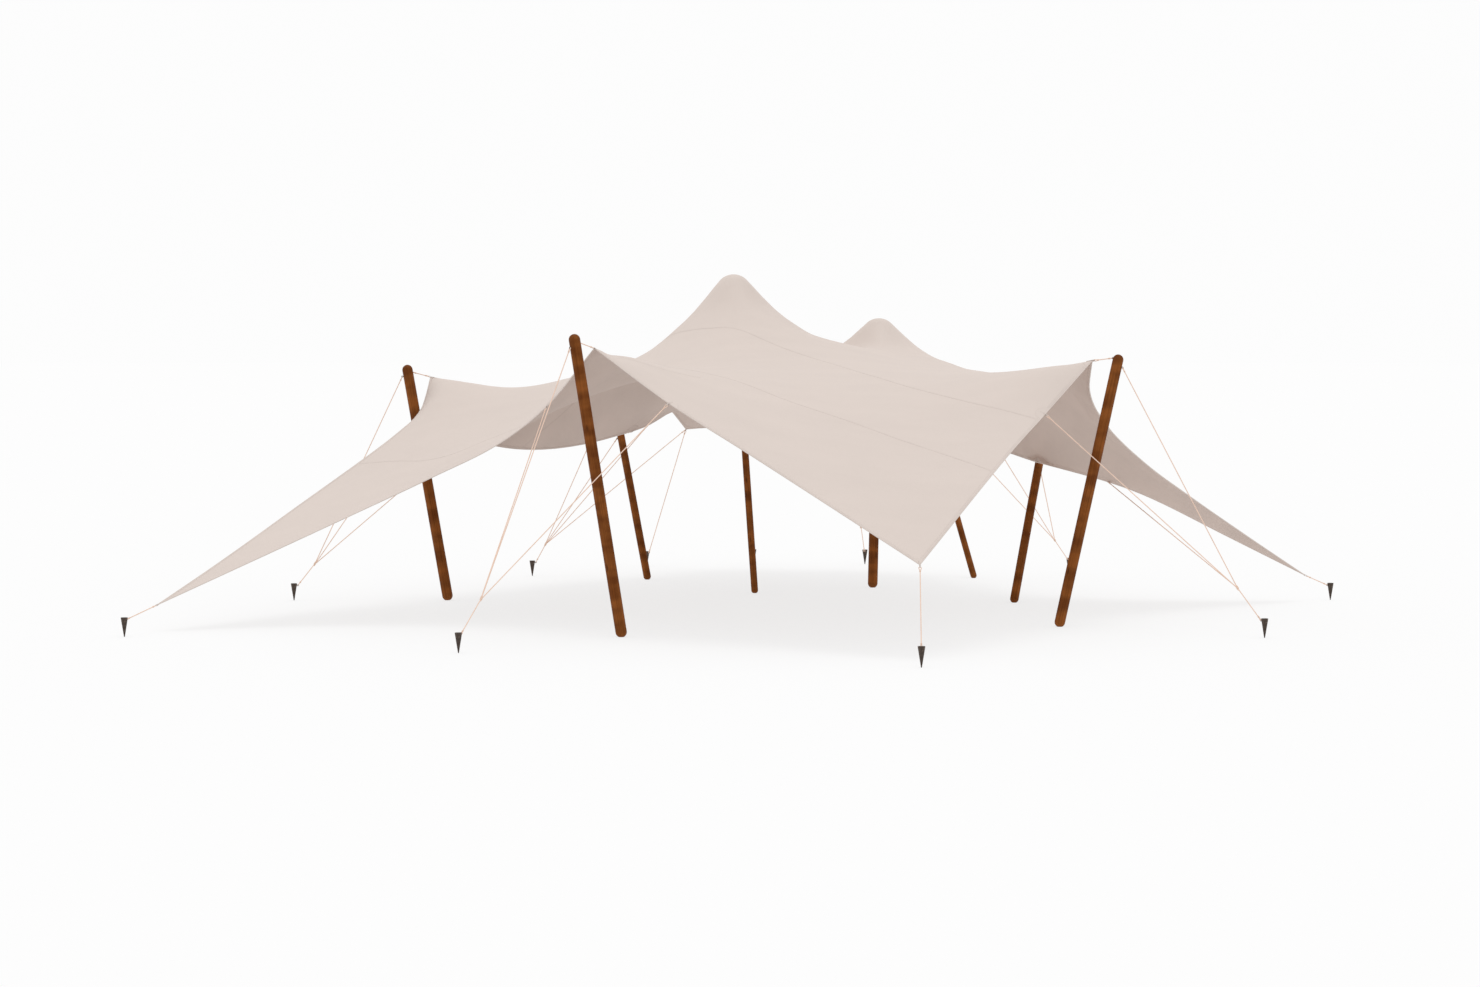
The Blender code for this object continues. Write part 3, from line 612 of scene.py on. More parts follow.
class Form:
    """Collects closed shapes, given as rings of points, for one piece."""

    def __init__(self):
        self.points = []
        self.faces = []
        self.marks = []
        self.places = []

    def add(self, points, faces, marks, places=None):
        """Points, faces with the number of each one's material, and the points' cloth coordinates."""
        base = len(self.points)
        self.points += [tuple(point) for point in points]
        self.faces += [tuple(base + index for index in face) for face in faces]
        self.marks += marks
        self.places += [(0, 0)] * len(points) if places is None else [tuple(place) for place in places]

    def rings(self, rings, marks=0, places=None):
        """A closed tube through rings of points. marks is its material, or a list of its strips' own."""
        rings = np.asarray(rings, float)
        count, sides = rings.shape[:2]
        faces = []
        for k in range(count - 1):
            for m in range(sides):
                a, b = k * sides + m, k * sides + (m + 1) % sides
                faces.append((a, b, b + sides, a + sides))
        faces.append(tuple(range(sides)))
        faces.append(tuple((count - 1) * sides + m for m in range(sides)))
        strips = [marks] * sides if isinstance(marks, int) else marks
        flat = None if places is None else np.asarray(places, float).reshape(-1, 2)
        self.add(rings.reshape(-1, 3), faces, strips * (count - 1) + strips[:1] * 2, flat)

    def piece(self, name, materials, slot, recalculate=True, crease=40):
        mesh = bpy.data.meshes.new(name)
        mesh.from_pydata(self.points, [], self.faces)
        mesh.polygons.foreach_set("material_index", self.marks)
        corners = np.zeros(len(mesh.loops), np.int32)
        mesh.loops.foreach_get("vertex_index", corners)
        layer = mesh.uv_layers.new(name="UVMap")
        layer.data.foreach_set("uv", np.array(self.places, np.float32)[corners].ravel())
        if recalculate:
            form = bmesh.new()
            form.from_mesh(mesh)
            bmesh.ops.recalc_face_normals(form, faces=form.faces)
            form.to_mesh(mesh)
            form.free()
        mesh.shade_smooth()
        mesh.set_sharp_from_angle(angle=math.radians(crease))
        for material in materials:
            mesh.materials.append(material)
        made = new_object(name, mesh)
        return made


def place_piece(piece, nodes=(), place=None):
    if place is not None:
        piece.matrix_world = place
        bpy.context.view_layer.update()
    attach(piece, "root")
    if nodes:
        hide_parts(*nodes)


def unit(vectors):
    return vectors / np.maximum(np.linalg.norm(vectors, axis=-1, keepdims=True), 1e-12)


def square_to(direction, vector):
    """The part of a vector that is square to a direction, as a unit vector."""
    return (vector - direction * vector.dot(direction)).normalized()


def smooth_curve(points, steps=CURVE_STEPS):
    """Centripetal Catmull-Rom curve through the points, with steps to each of them."""
    p = np.array(points, float)
    ends = np.vstack([2 * p[0] - p[1], p, 2 * p[-1] - p[-2]])
    curve = []
    for a, b, c, d in zip(ends, ends[1:], ends[2:], ends[3:]):
        t1 = np.linalg.norm(b - a) ** 0.5
        t2 = t1 + np.linalg.norm(c - b) ** 0.5
        t3 = t2 + np.linalg.norm(d - c) ** 0.5
        for t in np.linspace(t1, t2, steps, endpoint=False):
            ab = a + (b - a) * t / t1
            bc = b + (c - b) * (t - t1) / (t2 - t1)
            cd = c + (d - c) * (t - t2) / (t3 - t2)
            abc = ab + (bc - ab) * t / t2
            bcd = bc + (cd - bc) * (t - t1) / (t3 - t1)
            curve.append(abc + (bcd - abc) * (t - t1) / (t2 - t1))
    return np.array(curve + [p[-1]])


def distances(line):
    """How far along a line each of its points lies."""
    return np.concatenate([[0], np.cumsum(np.linalg.norm(np.diff(line, axis=0), axis=1))])


def points_at(line, travelled, wanted):
    """Places on a line, whose points lie at the distances travelled, at the distances wanted."""
    return np.stack([np.interp(wanted, travelled, values) for values in line.T], -1)


def even_steps(line, step):
    """The line's points again, about a step apart, and how far along it they lie."""
    travelled = distances(line)
    count = max(2, math.ceil(travelled[-1] / step) + 1)
    wanted = np.linspace(0, travelled[-1], count)
    return points_at(line, travelled, wanted), wanted


# The sheet's form

def hem_side(rows, cells):
    """One side of the hem as cells + 1 points, and the index of every named point on it."""
    cusps = [i for i, row in enumerate(rows) if row[2] == CUSP]
    runs = []
    for first, last in zip(cusps, cusps[1:]):
        part = rows[first:last + 1]
        curve = smooth_curve([row[1] for row in part])
        held = [k * CURVE_STEPS for k, row in enumerate(part) if row[2] != SHAPE]
        runs += [curve[a:b + 1] for a, b in zip(held, held[1:])]
    lengths = [np.linalg.norm(np.diff(run, axis=0), axis=1).sum() for run in runs]
    reach = np.concatenate([[0], np.cumsum(lengths)]) / sum(lengths)
    places = [round(value * cells) for value in reach]
    for k in range(1, len(places)):
        places[k] = max(places[k], places[k - 1] + 1)
    line = np.zeros((cells + 1, 3))
    for run, first, last in zip(runs, places, places[1:]):
        travelled = distances(run)
        line[first:last + 1] = points_at(run, travelled, np.linspace(0, travelled[-1], last - first + 1))
    names = [row[0] for row in rows if row[2] != SHAPE]
    return line, dict(zip(names, places))


def relax(values, fixed, along_u, along_v, rounds, pull=None, goal=None):
    """Each free grid point settles between its four neighbours, and towards goal where pull says."""
    count = values.shape[0] - 1
    speed = 2 / (1 + math.sin(math.pi / count))
    before_u, after_u = along_u[:-1, 1:-1], along_u[1:, 1:-1]
    before_v, after_v = along_v[1:-1, :-1], along_v[1:-1, 1:]
    total = before_u + after_u + before_v + after_v
    load = np.zeros_like(total)
    if pull is not None:
        total = total + pull[1:-1, 1:-1]
        load = (pull * goal)[1:-1, 1:-1]
    rows, columns = np.indices(total.shape)
    free = ~fixed[1:-1, 1:-1]
    halves = [free & ((rows + columns) % 2 == k) for k in (0, 1)]
    for _ in range(rounds):
        for half in halves:
            settled = (before_u * values[:-2, 1:-1] + after_u * values[2:, 1:-1]
                       + before_v * values[1:-1, :-2] + after_v * values[1:-1, 2:] + load) / total
            inner = values[1:-1, 1:-1]
            inner[half] += speed * (settled[half] - inner[half])


def coons(cells):
    """A first grid between the four sides of the hem."""
    front, right, back, left = [hem_side(rows, cells)[0] for rows in HEM.values()]
    u = np.linspace(0, 1, cells + 1)[:, None, None]
    v = np.linspace(0, 1, cells + 1)[None, :, None]
    corners = ((1 - u) * (1 - v) * front[0] + u * (1 - v) * front[-1]
               + (1 - u) * v * back[0] + u * v * back[-1])
    return (1 - v) * front[:, None] + v * back[:, None] + (1 - u) * left + u * right - corners


def dome(top, radius):
    """Height of a crown at a distance from its middle."""
    return top - CROWN_CURVE + np.sqrt(np.maximum(CROWN_CURVE ** 2 - radius ** 2, 0))


def crown_block(plan, height, fixed, crown, rings):
    """Rounds the grid squares over a centre pole into rings, and gives them the dome's heights."""
    centre, top = crown
    centre = np.array(centre)
    i0, j0 = np.unravel_index(np.argmin(np.linalg.norm(plan - centre, axis=2)), height.shape)
    along = plan[i0 + 1, j0] - plan[i0 - 1, j0]
    across = plan[i0, j0 + 1] - plan[i0, j0 - 1]
    middle = along / np.linalg.norm(along) + across / np.linalg.norm(across)
    turn = math.atan2(middle[1], middle[0]) - math.pi / 4
    for i in range(-rings, rings + 1):
        for j in range(-rings, rings + 1):
            ring = max(abs(i), abs(j))
            if ring == 0:
                angle = 0.0
            elif abs(i) == ring:
                angle = math.pi / 4 * j / i + (math.pi if i < 0 else 0)
            else:
                angle = math.pi / 2 - math.pi / 4 * i / j + (math.pi if j < 0 else 0)
            radius = CROWN_RADIUS * ring / rings
            direction = np.array([math.cos(angle + turn), math.sin(angle + turn)])
            plan[i0 + i, j0 + j] = centre + radius * direction
            height[i0 + i, j0 + j] = dome(top, radius)
            fixed[i0 + i, j0 + j] = True


def node_widths(edges, axis):
    """Mean length of the grid edges at each point, along one grid direction."""
    padded = np.concatenate([edges.take([0], axis), edges, edges.take([-1], axis)], axis)
    low = padded.take(range(padded.shape[axis] - 1), axis)
    high = padded.take(range(1, padded.shape[axis]), axis)
    return (low + high) / 2


def ridge_pull(plan):
    """How strongly each grid point is drawn to the nearest ridge, and to what height."""
    pull = np.zeros(plan.shape[:2])
    goal = np.zeros(plan.shape[:2])
    for points, strength, width in RIDGES:
        line = smooth_curve(points)
        away = ((plan[:, :, None, :] - line[None, None, :, :2]) ** 2).sum(-1)
        weight = strength * np.exp(-away.min(-1) / width ** 2)
        goal += weight * line[away.argmin(-1), 2]
        pull += weight
    return pull, goal / np.maximum(pull, 1e-9)


def sheet_grid(cells, rings):
    """Places of the sheet's grid points, as an array of cells + 1 by cells + 1 by 3."""
    grid = coons(cells)
    plan, height = grid[..., :2].copy(), grid[..., 2].copy()
    fixed = np.zeros(height.shape, bool)
    even_u = np.ones((cells, cells + 1))
    even_v = np.ones((cells + 1, cells))
    for axis in (0, 1):
        relax(plan[..., axis], fixed, even_u, even_v, RELAX_ROUNDS)
    for crown in CROWNS:
        crown_block(plan, height, fixed, crown, rings)
    for axis in (0, 1):
        relax(plan[..., axis], fixed, even_u, even_v, RELAX_ROUNDS)
    step_u = np.linalg.norm(np.diff(plan, axis=0), axis=2)
    step_v = np.linalg.norm(np.diff(plan, axis=1), axis=2)
    width_u = node_widths(step_u, 0)
    width_v = node_widths(step_v, 1)
    flow_u = (width_v[:-1] + width_v[1:]) / 2 / np.maximum(step_u, LEAST_STEP)
    flow_v = (width_u[:, :-1] + width_u[:, 1:]) / 2 / np.maximum(step_v, LEAST_STEP)
    pull, goal = ridge_pull(plan)
    relax(height, fixed, flow_u, flow_v, 2 * RELAX_ROUNDS, pull * width_u * width_v, goal)
    return np.dstack([plan, height])


def fine_sheet():
    """The part's grid with smooth curves through its points, and the true dome over each crown."""
    grid = sheet_grid(SHEET_CELLS, CROWN_RINGS)
    for _ in range(2):
        grid = np.array([smooth_curve(line, REFINE) for line in grid]).transpose(1, 0, 2)
    edges = {"front": grid[:, 0], "right": grid[-1], "back": grid[:, -1], "left": grid[0]}
    for side, rows in HEM.items():
        line, places = hem_side(rows, SHEET_CELLS)
        cusps = [places[row[0]] for row in rows if row[2] == CUSP]
        for first, last in zip(cusps, cusps[1:]):
            edges[side][first * REFINE:last * REFINE + 1] = smooth_curve(line[first:last + 1], REFINE)
    for centre, top in CROWNS:
        radius = np.linalg.norm(grid[..., :2] - np.array(centre), axis=2)
        share = np.clip((CROWN_RADIUS - radius) / (CROWN_RADIUS * (1 - DOME_BLEND)), 0, 1)
        grid[..., 2] += share * (dome(top, radius) - grid[..., 2])
    return grid


def upright(hit):
    """The place of a hit and its normal, turned to the upper side, or None."""
    place, normal = hit[:2]
    if place is None:
        return None
    return place, normal if normal.z > 0 else -normal


class Sheet:
    """The middle surface of the cloth, with its normals and a tree for finding places on it."""

    def __init__(self):
        self.grid = fine_sheet()
        slope_u, slope_v = np.gradient(self.grid, axis=0), np.gradient(self.grid, axis=1)
        self.normals = unit(np.cross(slope_u, slope_v))
        count = FINE_CELLS + 1
        self.index = np.arange(count * count).reshape(count, count)
        cells = (self.index[:-1, :-1], self.index[1:, :-1], self.index[1:, 1:], self.index[:-1, 1:])
        a, b, c, d = [corner.ravel() for corner in cells]
        self.faces = np.concatenate([np.stack([a, b, c], 1), np.stack([a, c, d], 1)])
        self.tree = BVHTree.FromPolygons(self.grid.reshape(-1, 3).tolist(), self.faces.tolist())
        self.ties = {}
        for side, rows in HEM.items():
            for name, place in hem_side(rows, SHEET_CELLS)[1].items():
                self.ties[name] = (side, place * REFINE)

    def inward(self, side):
        """Grid points and normals along the lines that lead in from each hem point of a side."""
        found = []
        for field in (self.grid, self.normals):
            lines = {"front": field, "back": field[:, ::-1],
                     "left": field.transpose(1, 0, 2), "right": field[::-1].transpose(1, 0, 2)}[side]
            found.append(lines[:, :HEM_REACH + 1])
        return found

    def on(self, point):
        """The nearest place on the sheet, and its normal."""
        return upright(self.tree.find_nearest(Vector(point)))

    def below(self, x, y):
        """The place on the sheet at a plan point and its normal, or None."""
        return upright(self.tree.ray_cast(Vector((x, y, 10)), Vector((0, 0, -1))))


def canopy_sheet(sheet, materials):
    """The cloth as a thin closed solid with its own material on each side; the underside's darker colour
    is painted shade.
    """
    top = (sheet.grid + sheet.normals * SHEET_HALF).reshape(-1, 3)
    bottom = (sheet.grid - sheet.normals * SHEET_HALF).reshape(-1, 3)
    steps = [np.linalg.norm(np.diff(sheet.grid, axis=axis), axis=2).mean(1 - axis) for axis in (0, 1)]
    along = [np.concatenate([[0], np.cumsum(step)]) for step in steps]
    places = np.stack(np.meshgrid(*along, indexing="ij"), -1).reshape(-1, 2)
    count = len(top)
    above = sheet.faces.tolist()
    below = (sheet.faces[:, ::-1] + count).tolist()
    index = sheet.index
    edge = np.concatenate([index[:-1, 0], index[-1, :-1], index[:0:-1, -1], index[0, :0:-1]])
    rim = [(a, a + count, b + count, b) for a, b in zip(edge, np.roll(edge, -1))]
    form = Form()
    marks = [0] * len(above) + [1] * len(below) + [0] * len(rim)
    form.add(np.vstack([top, bottom]), above + below + rim, marks, np.vstack([places, places]))
    return form.piece("canopy_sheet", materials, "sheet_fabric", recalculate=False, crease=60)


def canopy_hem(sheet, materials):
    """A folded and sewn band along the edge, with a cord in its bead."""
    form = Form()
    profile = HEM_PROFILE + [(away, -height) for away, height in reversed(HEM_PROFILE)]
    # Facets past the bead on the lower face take the underside's darker colour, which is painted shade
    strips = [int(k >= len(HEM_PROFILE) + HEM_BEAD) for k in range(len(profile))]
    for side, lift in HEM_LIFTS.items():
        lines, normals = sheet.inward(side)
        tangents = unit(np.gradient(lines[:, 0], axis=0))
        rings, places = [], []
        for line, normal, tangent, along in zip(lines, normals, tangents, distances(lines[:, 0])):
            first = line[1] - line[0]
            length = np.linalg.norm(first)
            sine = np.linalg.norm(np.cross(first / length, tangent))
            steps = distances(line)
            ring = []
            for away, height in profile:
                reach = away / max(sine, LEAST_SINE)
                if reach < 0:
                    place = line[0] + first / length * reach
                else:
                    place = points_at(line, steps, reach)
                up = unit(points_at(normal, steps, max(reach, 0)))
                ring.append(place + up * (height + math.copysign(lift, height)))
            rings.append(ring)
            places.append([(away, along) for away, _ in profile])
        form.rings(rings, strips, places)
    return form.piece("canopy_hem", materials, "sheet_fabric")


def canopy_seams(sheet, materials):
    """Flat seams between the panels, over and under the cloth."""
    form = Form()
    for points in SEAMS.values():
        plan, _ = even_steps(smooth_curve(points, 12), SEAM_STEP)
        found = [hit for hit in (sheet.below(x, y) for x, y in plan) if hit]
        places = np.array([hit[0] for hit in found])
        normals = np.array([hit[1] for hit in found])
        sides = unit(np.cross(normals, np.gradient(places, axis=0)))
        for rise, mark in ((1.0, 0), (-SEAM_UNDER, 1)):
            rings, marks = [], []
            for place, side, along in zip(places, sides, distances(places)):
                ring = []
                for away, height in SEAM_PROFILE:
                    spot, normal = sheet.on(place + side * away)
                    ring.append(np.array(spot) + np.array(normal) * height * rise)
                rings.append(ring)
                marks.append([(away, along) for away, _ in SEAM_PROFILE])
            form.rings(rings, mark, marks)
    return form.piece("canopy_seams", materials, "sheet_fabric")


def fan_directions(back, inward, forward):
    """Directions that turn from one run of the hem through the sheet to the other."""
    found = []
    for start, end in ((back, inward), (inward, forward)):
        for k in range(PATCH_TURNS // 2):
            found.append(start.slerp(end, k / (PATCH_TURNS // 2)))
    return found + [forward]


def patch_strips(sheet, centre, directions, radius, turn):
    """A flat patch on one face of the cloth as strips that lead out from its centre."""
    strips = []
    for direction in directions:
        outer, inner = [], []
        spot, normal = sheet.on(centre)
        for ring in range(PATCH_RINGS + 1):
            if ring:
                spot, normal = sheet.on(spot + square_to(normal, direction) * radius / PATCH_RINGS)
            outer.append(np.array(spot) + np.array(normal) * PATCH_TOP * turn)
            inner.append(np.array(spot) + np.array(normal) * PATCH_LOW * turn)
        outer[-1] = outer[-1] * 0.5 + inner[-1] * 0.5
        strips.append(outer + inner[::-1])
    return strips


def tie_frame(sheet, name):
    """A tie's place, and the hem's directions there: back along it, into the sheet and forward."""
    side, k = sheet.ties[name]
    lines, _ = sheet.inward(side)
    edge = lines[:, 0]
    tie = Vector(edge[k])
    inward = (Vector(lines[k, TIE_CELLS]) - tie).normalized()
    ahead = (Vector(edge[min(k + TIE_CELLS, FINE_CELLS)]) - tie).normalized()
    behind = (Vector(edge[max(k - TIE_CELLS, 0)]) - tie).normalized()
    if k in (0, FINE_CELLS):
        run = ahead if k == 0 else behind
        return tie, run, (run + inward).normalized(), inward
    return tie, behind, inward, ahead


def canopy_patches(sheet, materials):
    """Doubled cloth at each tie of the hem, on both faces."""
    form = Form()
    reach = [PATCH_RADIUS * ring / PATCH_RINGS for ring in range(PATCH_RINGS + 1)]
    for name in sheet.ties:
        tie, back, inward, forward = tie_frame(sheet, name)
        directions = fan_directions(back, inward, forward)
        radius = PATCH_SMALL.get(name, PATCH_RADIUS)
        for turn, mark in ((1, 0), (-1, 1)):
            strips = patch_strips(sheet, tie, directions, radius, turn)
            places = [[(away, PATCH_ARC * k) for away in reach + reach[::-1]] for k in range(len(strips))]
            form.rings(strips, mark, places)
    return form.piece("canopy_patches", materials, "sheet_fabric", crease=50)


# Ropes and their ends

class Wire:
    """A plain round wire."""
    sides = 12

    def __init__(self, radius, step):
        self.radius, self.step = radius, step

    def radii(self, distance, length, angles):
        return np.full(angles.shape, self.radius)


class Rope(Wire):
    """Three laid strands."""

    def radii(self, distance, length, angles):
        twist = 2 * math.pi * distance / ROPE_LAY
        return self.radius * (ROPE_CORE + ROPE_STRAND * np.cos(3 * (angles - twist)))


LAID_ROPE = Rope(ROPE_RADIUS, ROPE_STEP)


class Whipping(Wire):
    """Turns of twine laid side by side, tapered at both ends."""
    sides = 16

    def radii(self, distance, length, angles):
        along = distance / TWINE_TURN + angles / (2 * math.pi)
        ridge = TWINE_RIDGE * np.abs(np.sin(math.pi * along))
        return self.radius * min(1.0, TWINE_END + min(distance, length - distance) / TWINE_TAPER) + ridge


def sweep(form, line, section, mark=0):
    """A tube along a line of points. section gives the ring's radii for a distance and an angle."""
    line, travelled = even_steps(np.array([tuple(point) for point in line]), section.step)
    tangents = unit(np.gradient(line, axis=0))
    start = Vector(tangents[0])
    first = Vector((0, 0, 1)) - start * start.z
    if first.length < 0.05:
        first = Vector((1, 0, 0)) - start * start.x
    first.normalize()
    angles = np.arange(section.sides) * 2 * math.pi / section.sides
    rings = []
    for place, tangent, distance in zip(line, tangents, travelled):
        ahead = Vector(tangent)
        first = square_to(ahead, first)
        radii = section.radii(distance, travelled[-1], angles)
        ring = place + np.outer(radii * np.cos(angles), first)
        rings.append(ring + np.outer(radii * np.sin(angles), ahead.cross(first)))
    form.rings(rings, mark)


def rope_loop(form, anchor, direction, side, size):
    """A loop of rope round an anchor. Gives the place where it is bound and the rope goes on."""
    spread, reach = size
    outline = LOOP_SHAPE + [(along, -away) for along, away in reversed(LOOP_SHAPE[:-1])]
    line = [anchor + direction * (along * reach) + side * (away * spread) for along, away in outline]
    sweep(form, smooth_curve(line, 6), Rope(LOOP_RADIUS, LOOP_STEP))
    start = anchor + direction * (reach - WHIP_OVERLAP)
    sweep(form, [start, start + direction * WHIP_LENGTH], Whipping(WHIP_RADIUS, TWINE_STEP), 1)
    return start


def pole_line(foot, top, radius):
    """The middles of a pole's round ends, and its direction."""
    low, end = Vector((foot[0], foot[1], radius - FOOT_CUT)), Vector(top)
    return low, end, (end - low).normalized()


def head_anchors(key):
    """For an outer pole's head tie and for its guy: the eye's middle, its stem and its axis."""
    foot, top, radius = POLES[key]
    _, end, axis = pole_line(foot, top, radius)
    found = []
    for target, drop in ((HEM_POINTS[key + "_head"], TIE_DROPS.get(key, TIE_DROP)),
                         (Vector(GUY_NODES[key]), GUY_DROP)):
        middle = end - axis * drop
        stem = square_to(axis, target - middle)
        found.append((middle + stem * (radius + EYE_STAND), stem, axis))
    return found


def stake_anchor(key, target):
    """For a stake's rope to a target: the eye's middle, its stem and its axis."""
    middle = Vector((*STAKES[key], STAKE_EYE_HEIGHT))
    stem = (target - middle).xy.to_3d().normalized()
    radius = STAKE_TIP_RADIUS + STAKE_SLOPE * STAKE_EYE_HEIGHT
    return middle + stem * (radius + EYE_STAND), stem, Vector((0, 0, 1))


def eye_ring(form, anchor, stem, axis):
    """A forged eye: a ring on a short stem that goes into the wood or iron."""
    turns = [2 * math.pi * k / EYE_TURNS for k in range(EYE_TURNS + 1)]
    ring = [anchor + stem * EYE_RADIUS * math.cos(a) + axis * EYE_RADIUS * math.sin(a) for a in turns]
    sweep(form, ring, Wire(EYE_WIRE, EYE_STEPS[0]))
    base = anchor - stem * (EYE_STAND + EYE_SUNK)
    sweep(form, [base, anchor - stem * (EYE_RADIUS - EYE_WIRE)], Wire(EYE_WIRE * EYE_STEM, EYE_STEPS[1]))


def tab_frame(sheet, name, target):
    """A hem tab's place, the way into the sheet, the way to its rope's other end, and two ups."""
    tie, _, inward, _ = tie_frame(sheet, name)
    direction = (target - tie).normalized()
    _, normal = sheet.on(tie + inward * TAB_PROBE)
    return tie, inward, direction, normal, square_to(direction, normal)


def tab_anchor(sheet, name, target):
    """The rope's place in the fold of a hem tab, and the direction in which it passes through."""
    tie, _, direction, _, up = tab_frame(sheet, name, target)
    return tie + direction * TAB_FOLD, direction.cross(up).normalized()


def hem_tab(sheet, name, target, materials):
    """A folded strap sewn over the hem, which holds the rope in its fold."""
    tie, inward, direction, normal, up = tab_frame(sheet, name, target)
    cover = PATCH_TOP + TAB_THICK / 2
    path = [(tie + inward * TAB_SEWN, cover, normal),
            (tie + inward * TAB_BEND, cover, normal),
            (tie + inward * TAB_RISE[0], TAB_RISE[1], normal),
            (tie, TAB_CREST, (normal + up).normalized()),
            (tie + direction * TAB_NECK[0], TAB_ROUND + TAB_NECK[1], up),
            (tie + direction * TAB_FOLD, TAB_ROUND, up)]
    over = [place + lift * height for place, height, lift in path]
    below = [place - lift * height for place, height, lift in path]
    fold = [tie + direction * (TAB_FOLD + TAB_ROUND * math.sin(a)) + up * TAB_ROUND * math.cos(a)
            for a in (math.pi / 4, math.pi / 2, 3 * math.pi / 4)]
    line = smooth_curve(over + fold + below[::-1], 8)
    wide = np.array(direction.cross(up)) * TAB_HALF
    corners = ((-1, -1), (1, -1), (1, 1), (-1, 1))
    rings, places = [], []
    for point, tangent, along in zip(line, unit(np.gradient(line, axis=0)), distances(line)):
        thick = unit(np.cross(tangent, wide)) * TAB_THICK / 2
        rings.append([point + x * wide + y * thick for x, y in corners])
        places.append([(x * TAB_HALF, along) for x, _ in corners])
    form = Form()
    form.rings(rings, 0, places)
    # The strap's lower half takes the underside's darker colour, which is painted shade
    half = len(rings) // 2
    form.marks = [int(k // 4 >= half) for k in range(4 * (len(rings) - 1))] + [0, 1]
    return form.piece("hem_tab_" + name, materials, "sheet_fabric", crease=50)


def rope_piece(form, name, node, materials):
    place_piece(form.piece("rope_" + name, materials, "rope_fibre", crease=60), [node])


def make_ropes(sheet, materials):
    """Every rope of the part. Gives what the tab at each tie of the hem points to."""
    tab_targets = {}
    ropes = [("head_tie_" + key, "head_tie_" + key, key + "_head", head_anchors(key)[0]) for key in POLES]
    ropes += [(key, "corner_rope_" + key, key, stake_anchor(key, HEM_POINTS[key])) for key in CORNER_ROPES]
    for name, node, tie_name, (eye, _, axis) in ropes:
        tab_targets[tie_name] = eye
        tab, side = tab_anchor(sheet, tie_name, eye)
        run = (tab - eye).normalized()
        form = Form()
        first = rope_loop(form, eye, run, run.cross(axis).normalized(), EYE_LOOP)
        last = rope_loop(form, tab, -run, side, TAB_LOOP)
        sweep(form, [first, last], LAID_ROPE)
        rope_piece(form, name, node, materials)
    for key, strands in GUY_STRANDS.items():
        knot = Vector(GUY_NODES[key])
        low, _, low_axis = stake_anchor(key, knot)
        high, _, high_axis = head_anchors(key)[1]
        down, up = (low - knot).normalized(), (high - knot).normalized()
        form = Form()
        first = rope_loop(form, low, -down, down.cross(low_axis).normalized(), EYE_LOOP)
        last = rope_loop(form, high, -up, up.cross(high_axis).normalized(), EYE_LOOP)
        sweep(form, [first, knot + down * KNOT_BEND, knot + up * KNOT_BEND, last], LAID_ROPE)
        line = (up - down).normalized()
        ends = [knot - line * KNOT_LENGTH / 2, knot + line * KNOT_LENGTH / 2]
        sweep(form, ends, Whipping(KNOT_RADIUS, TWINE_STEP), 1)
        rope_piece(form, "guy_" + key, "guy_" + key, materials)
        for tie_name in strands:
            tab_targets.setdefault(tie_name, knot)
            tab, side = tab_anchor(sheet, tie_name, knot)
            start = knot + square_to(line, (HEM_POINTS[tie_name] - knot).normalized()) * KNOT_SPREAD
            form = Form()
            last = rope_loop(form, tab, (start - tab).normalized(), side, TAB_LOOP)
            sweep(form, [start - line * KNOT_TAIL, start, last], LAID_ROPE)
            name = "strand_%s_%s" % (key, tie_name.split("_")[1])
            rope_piece(form, name, name, materials)
    return tab_targets


# Poles, pads and stakes

def turned(profile, sides, uneven=0.0, shift=0.0):
    """Rings of a profile of (radius, height) pairs, turned about Z, with a little waviness."""
    rings = []
    for radius, height in profile:
        ring = []
        for m in range(sides):
            a = 2 * math.pi * m / sides
            x, y = math.cos(a), math.sin(a)
            spot = Vector((x * WAVES_ROUND, y * WAVES_ROUND, (height + shift) * WAVES_ALONG))
            wave = uneven * noise.noise(spot) * min(1.0, radius / WAVE_FADE)
            ring.append(((radius + wave) * x, (radius + wave) * y, height))
        rings.append(ring)
    return rings


def pole_profile(radius, length):
    """From the middle of the round foot to that of the round head."""
    bends = [math.pi / 2 * k / POLE_ROUND for k in range(1, POLE_ROUND + 1)]
    foot = [(radius * math.sin(a), radius - radius * math.cos(a)) for a in bends]
    head = [(radius * math.cos(a), length - radius + radius * math.sin(a)) for a in bends[:-1]]
    straight = length - 2 * radius
    count = round(straight / POLE_RING)
    shaft = [(radius, radius + straight * k / count) for k in range(1, count + 1)]
    return [(POINT, 0.0)] + foot + shaft + head + [(POINT, length)]


def wood_pole(name, node, foot, top, radius, material, shift, flat_top):
    """A wooden pole, cut level at its foot. shift moves its grain, so that no two are the same."""
    low, end, axis = pole_line(foot, top, radius)
    form = Form()
    length = (end - low).length + radius
    form.rings(turned(pole_profile(radius, length), POLE_SIDES, POLE_WAVE, shift))
    piece = form.piece(name, [material], "pole_wood")
    turn = axis.to_track_quat("Z", "Y").to_matrix().to_4x4()
    turn.translation = low - axis * radius
    inverse = turn.inverted()
    normal = inverse.to_3x3() @ Vector((0, 0, 1))
    work = bmesh.new()
    work.from_mesh(piece.data)
    levels = [(0.0, True)] + ([(top[2] - FOOT_CUT, False)] if flat_top else [])
    for level, keep_above in levels:
        everything = work.verts[:] + work.edges[:] + work.faces[:]
        cut = bmesh.ops.bisect_plane(work, geom=everything, dist=0.00001,
                                     plane_co=inverse @ Vector((0, 0, level)), plane_no=normal,
                                     clear_inner=keep_above, clear_outer=not keep_above)
        rim = [item for item in cut["geom_cut"] if isinstance(item, bmesh.types.BMEdge)]
        bmesh.ops.edgeloop_fill(work, edges=rim)
    for vertex in work.verts:
        vertex.co.z += shift
    work.to_mesh(piece.data)
    work.free()
    place_piece(piece, [node], turn @ Matrix.Translation((0, 0, -shift)))


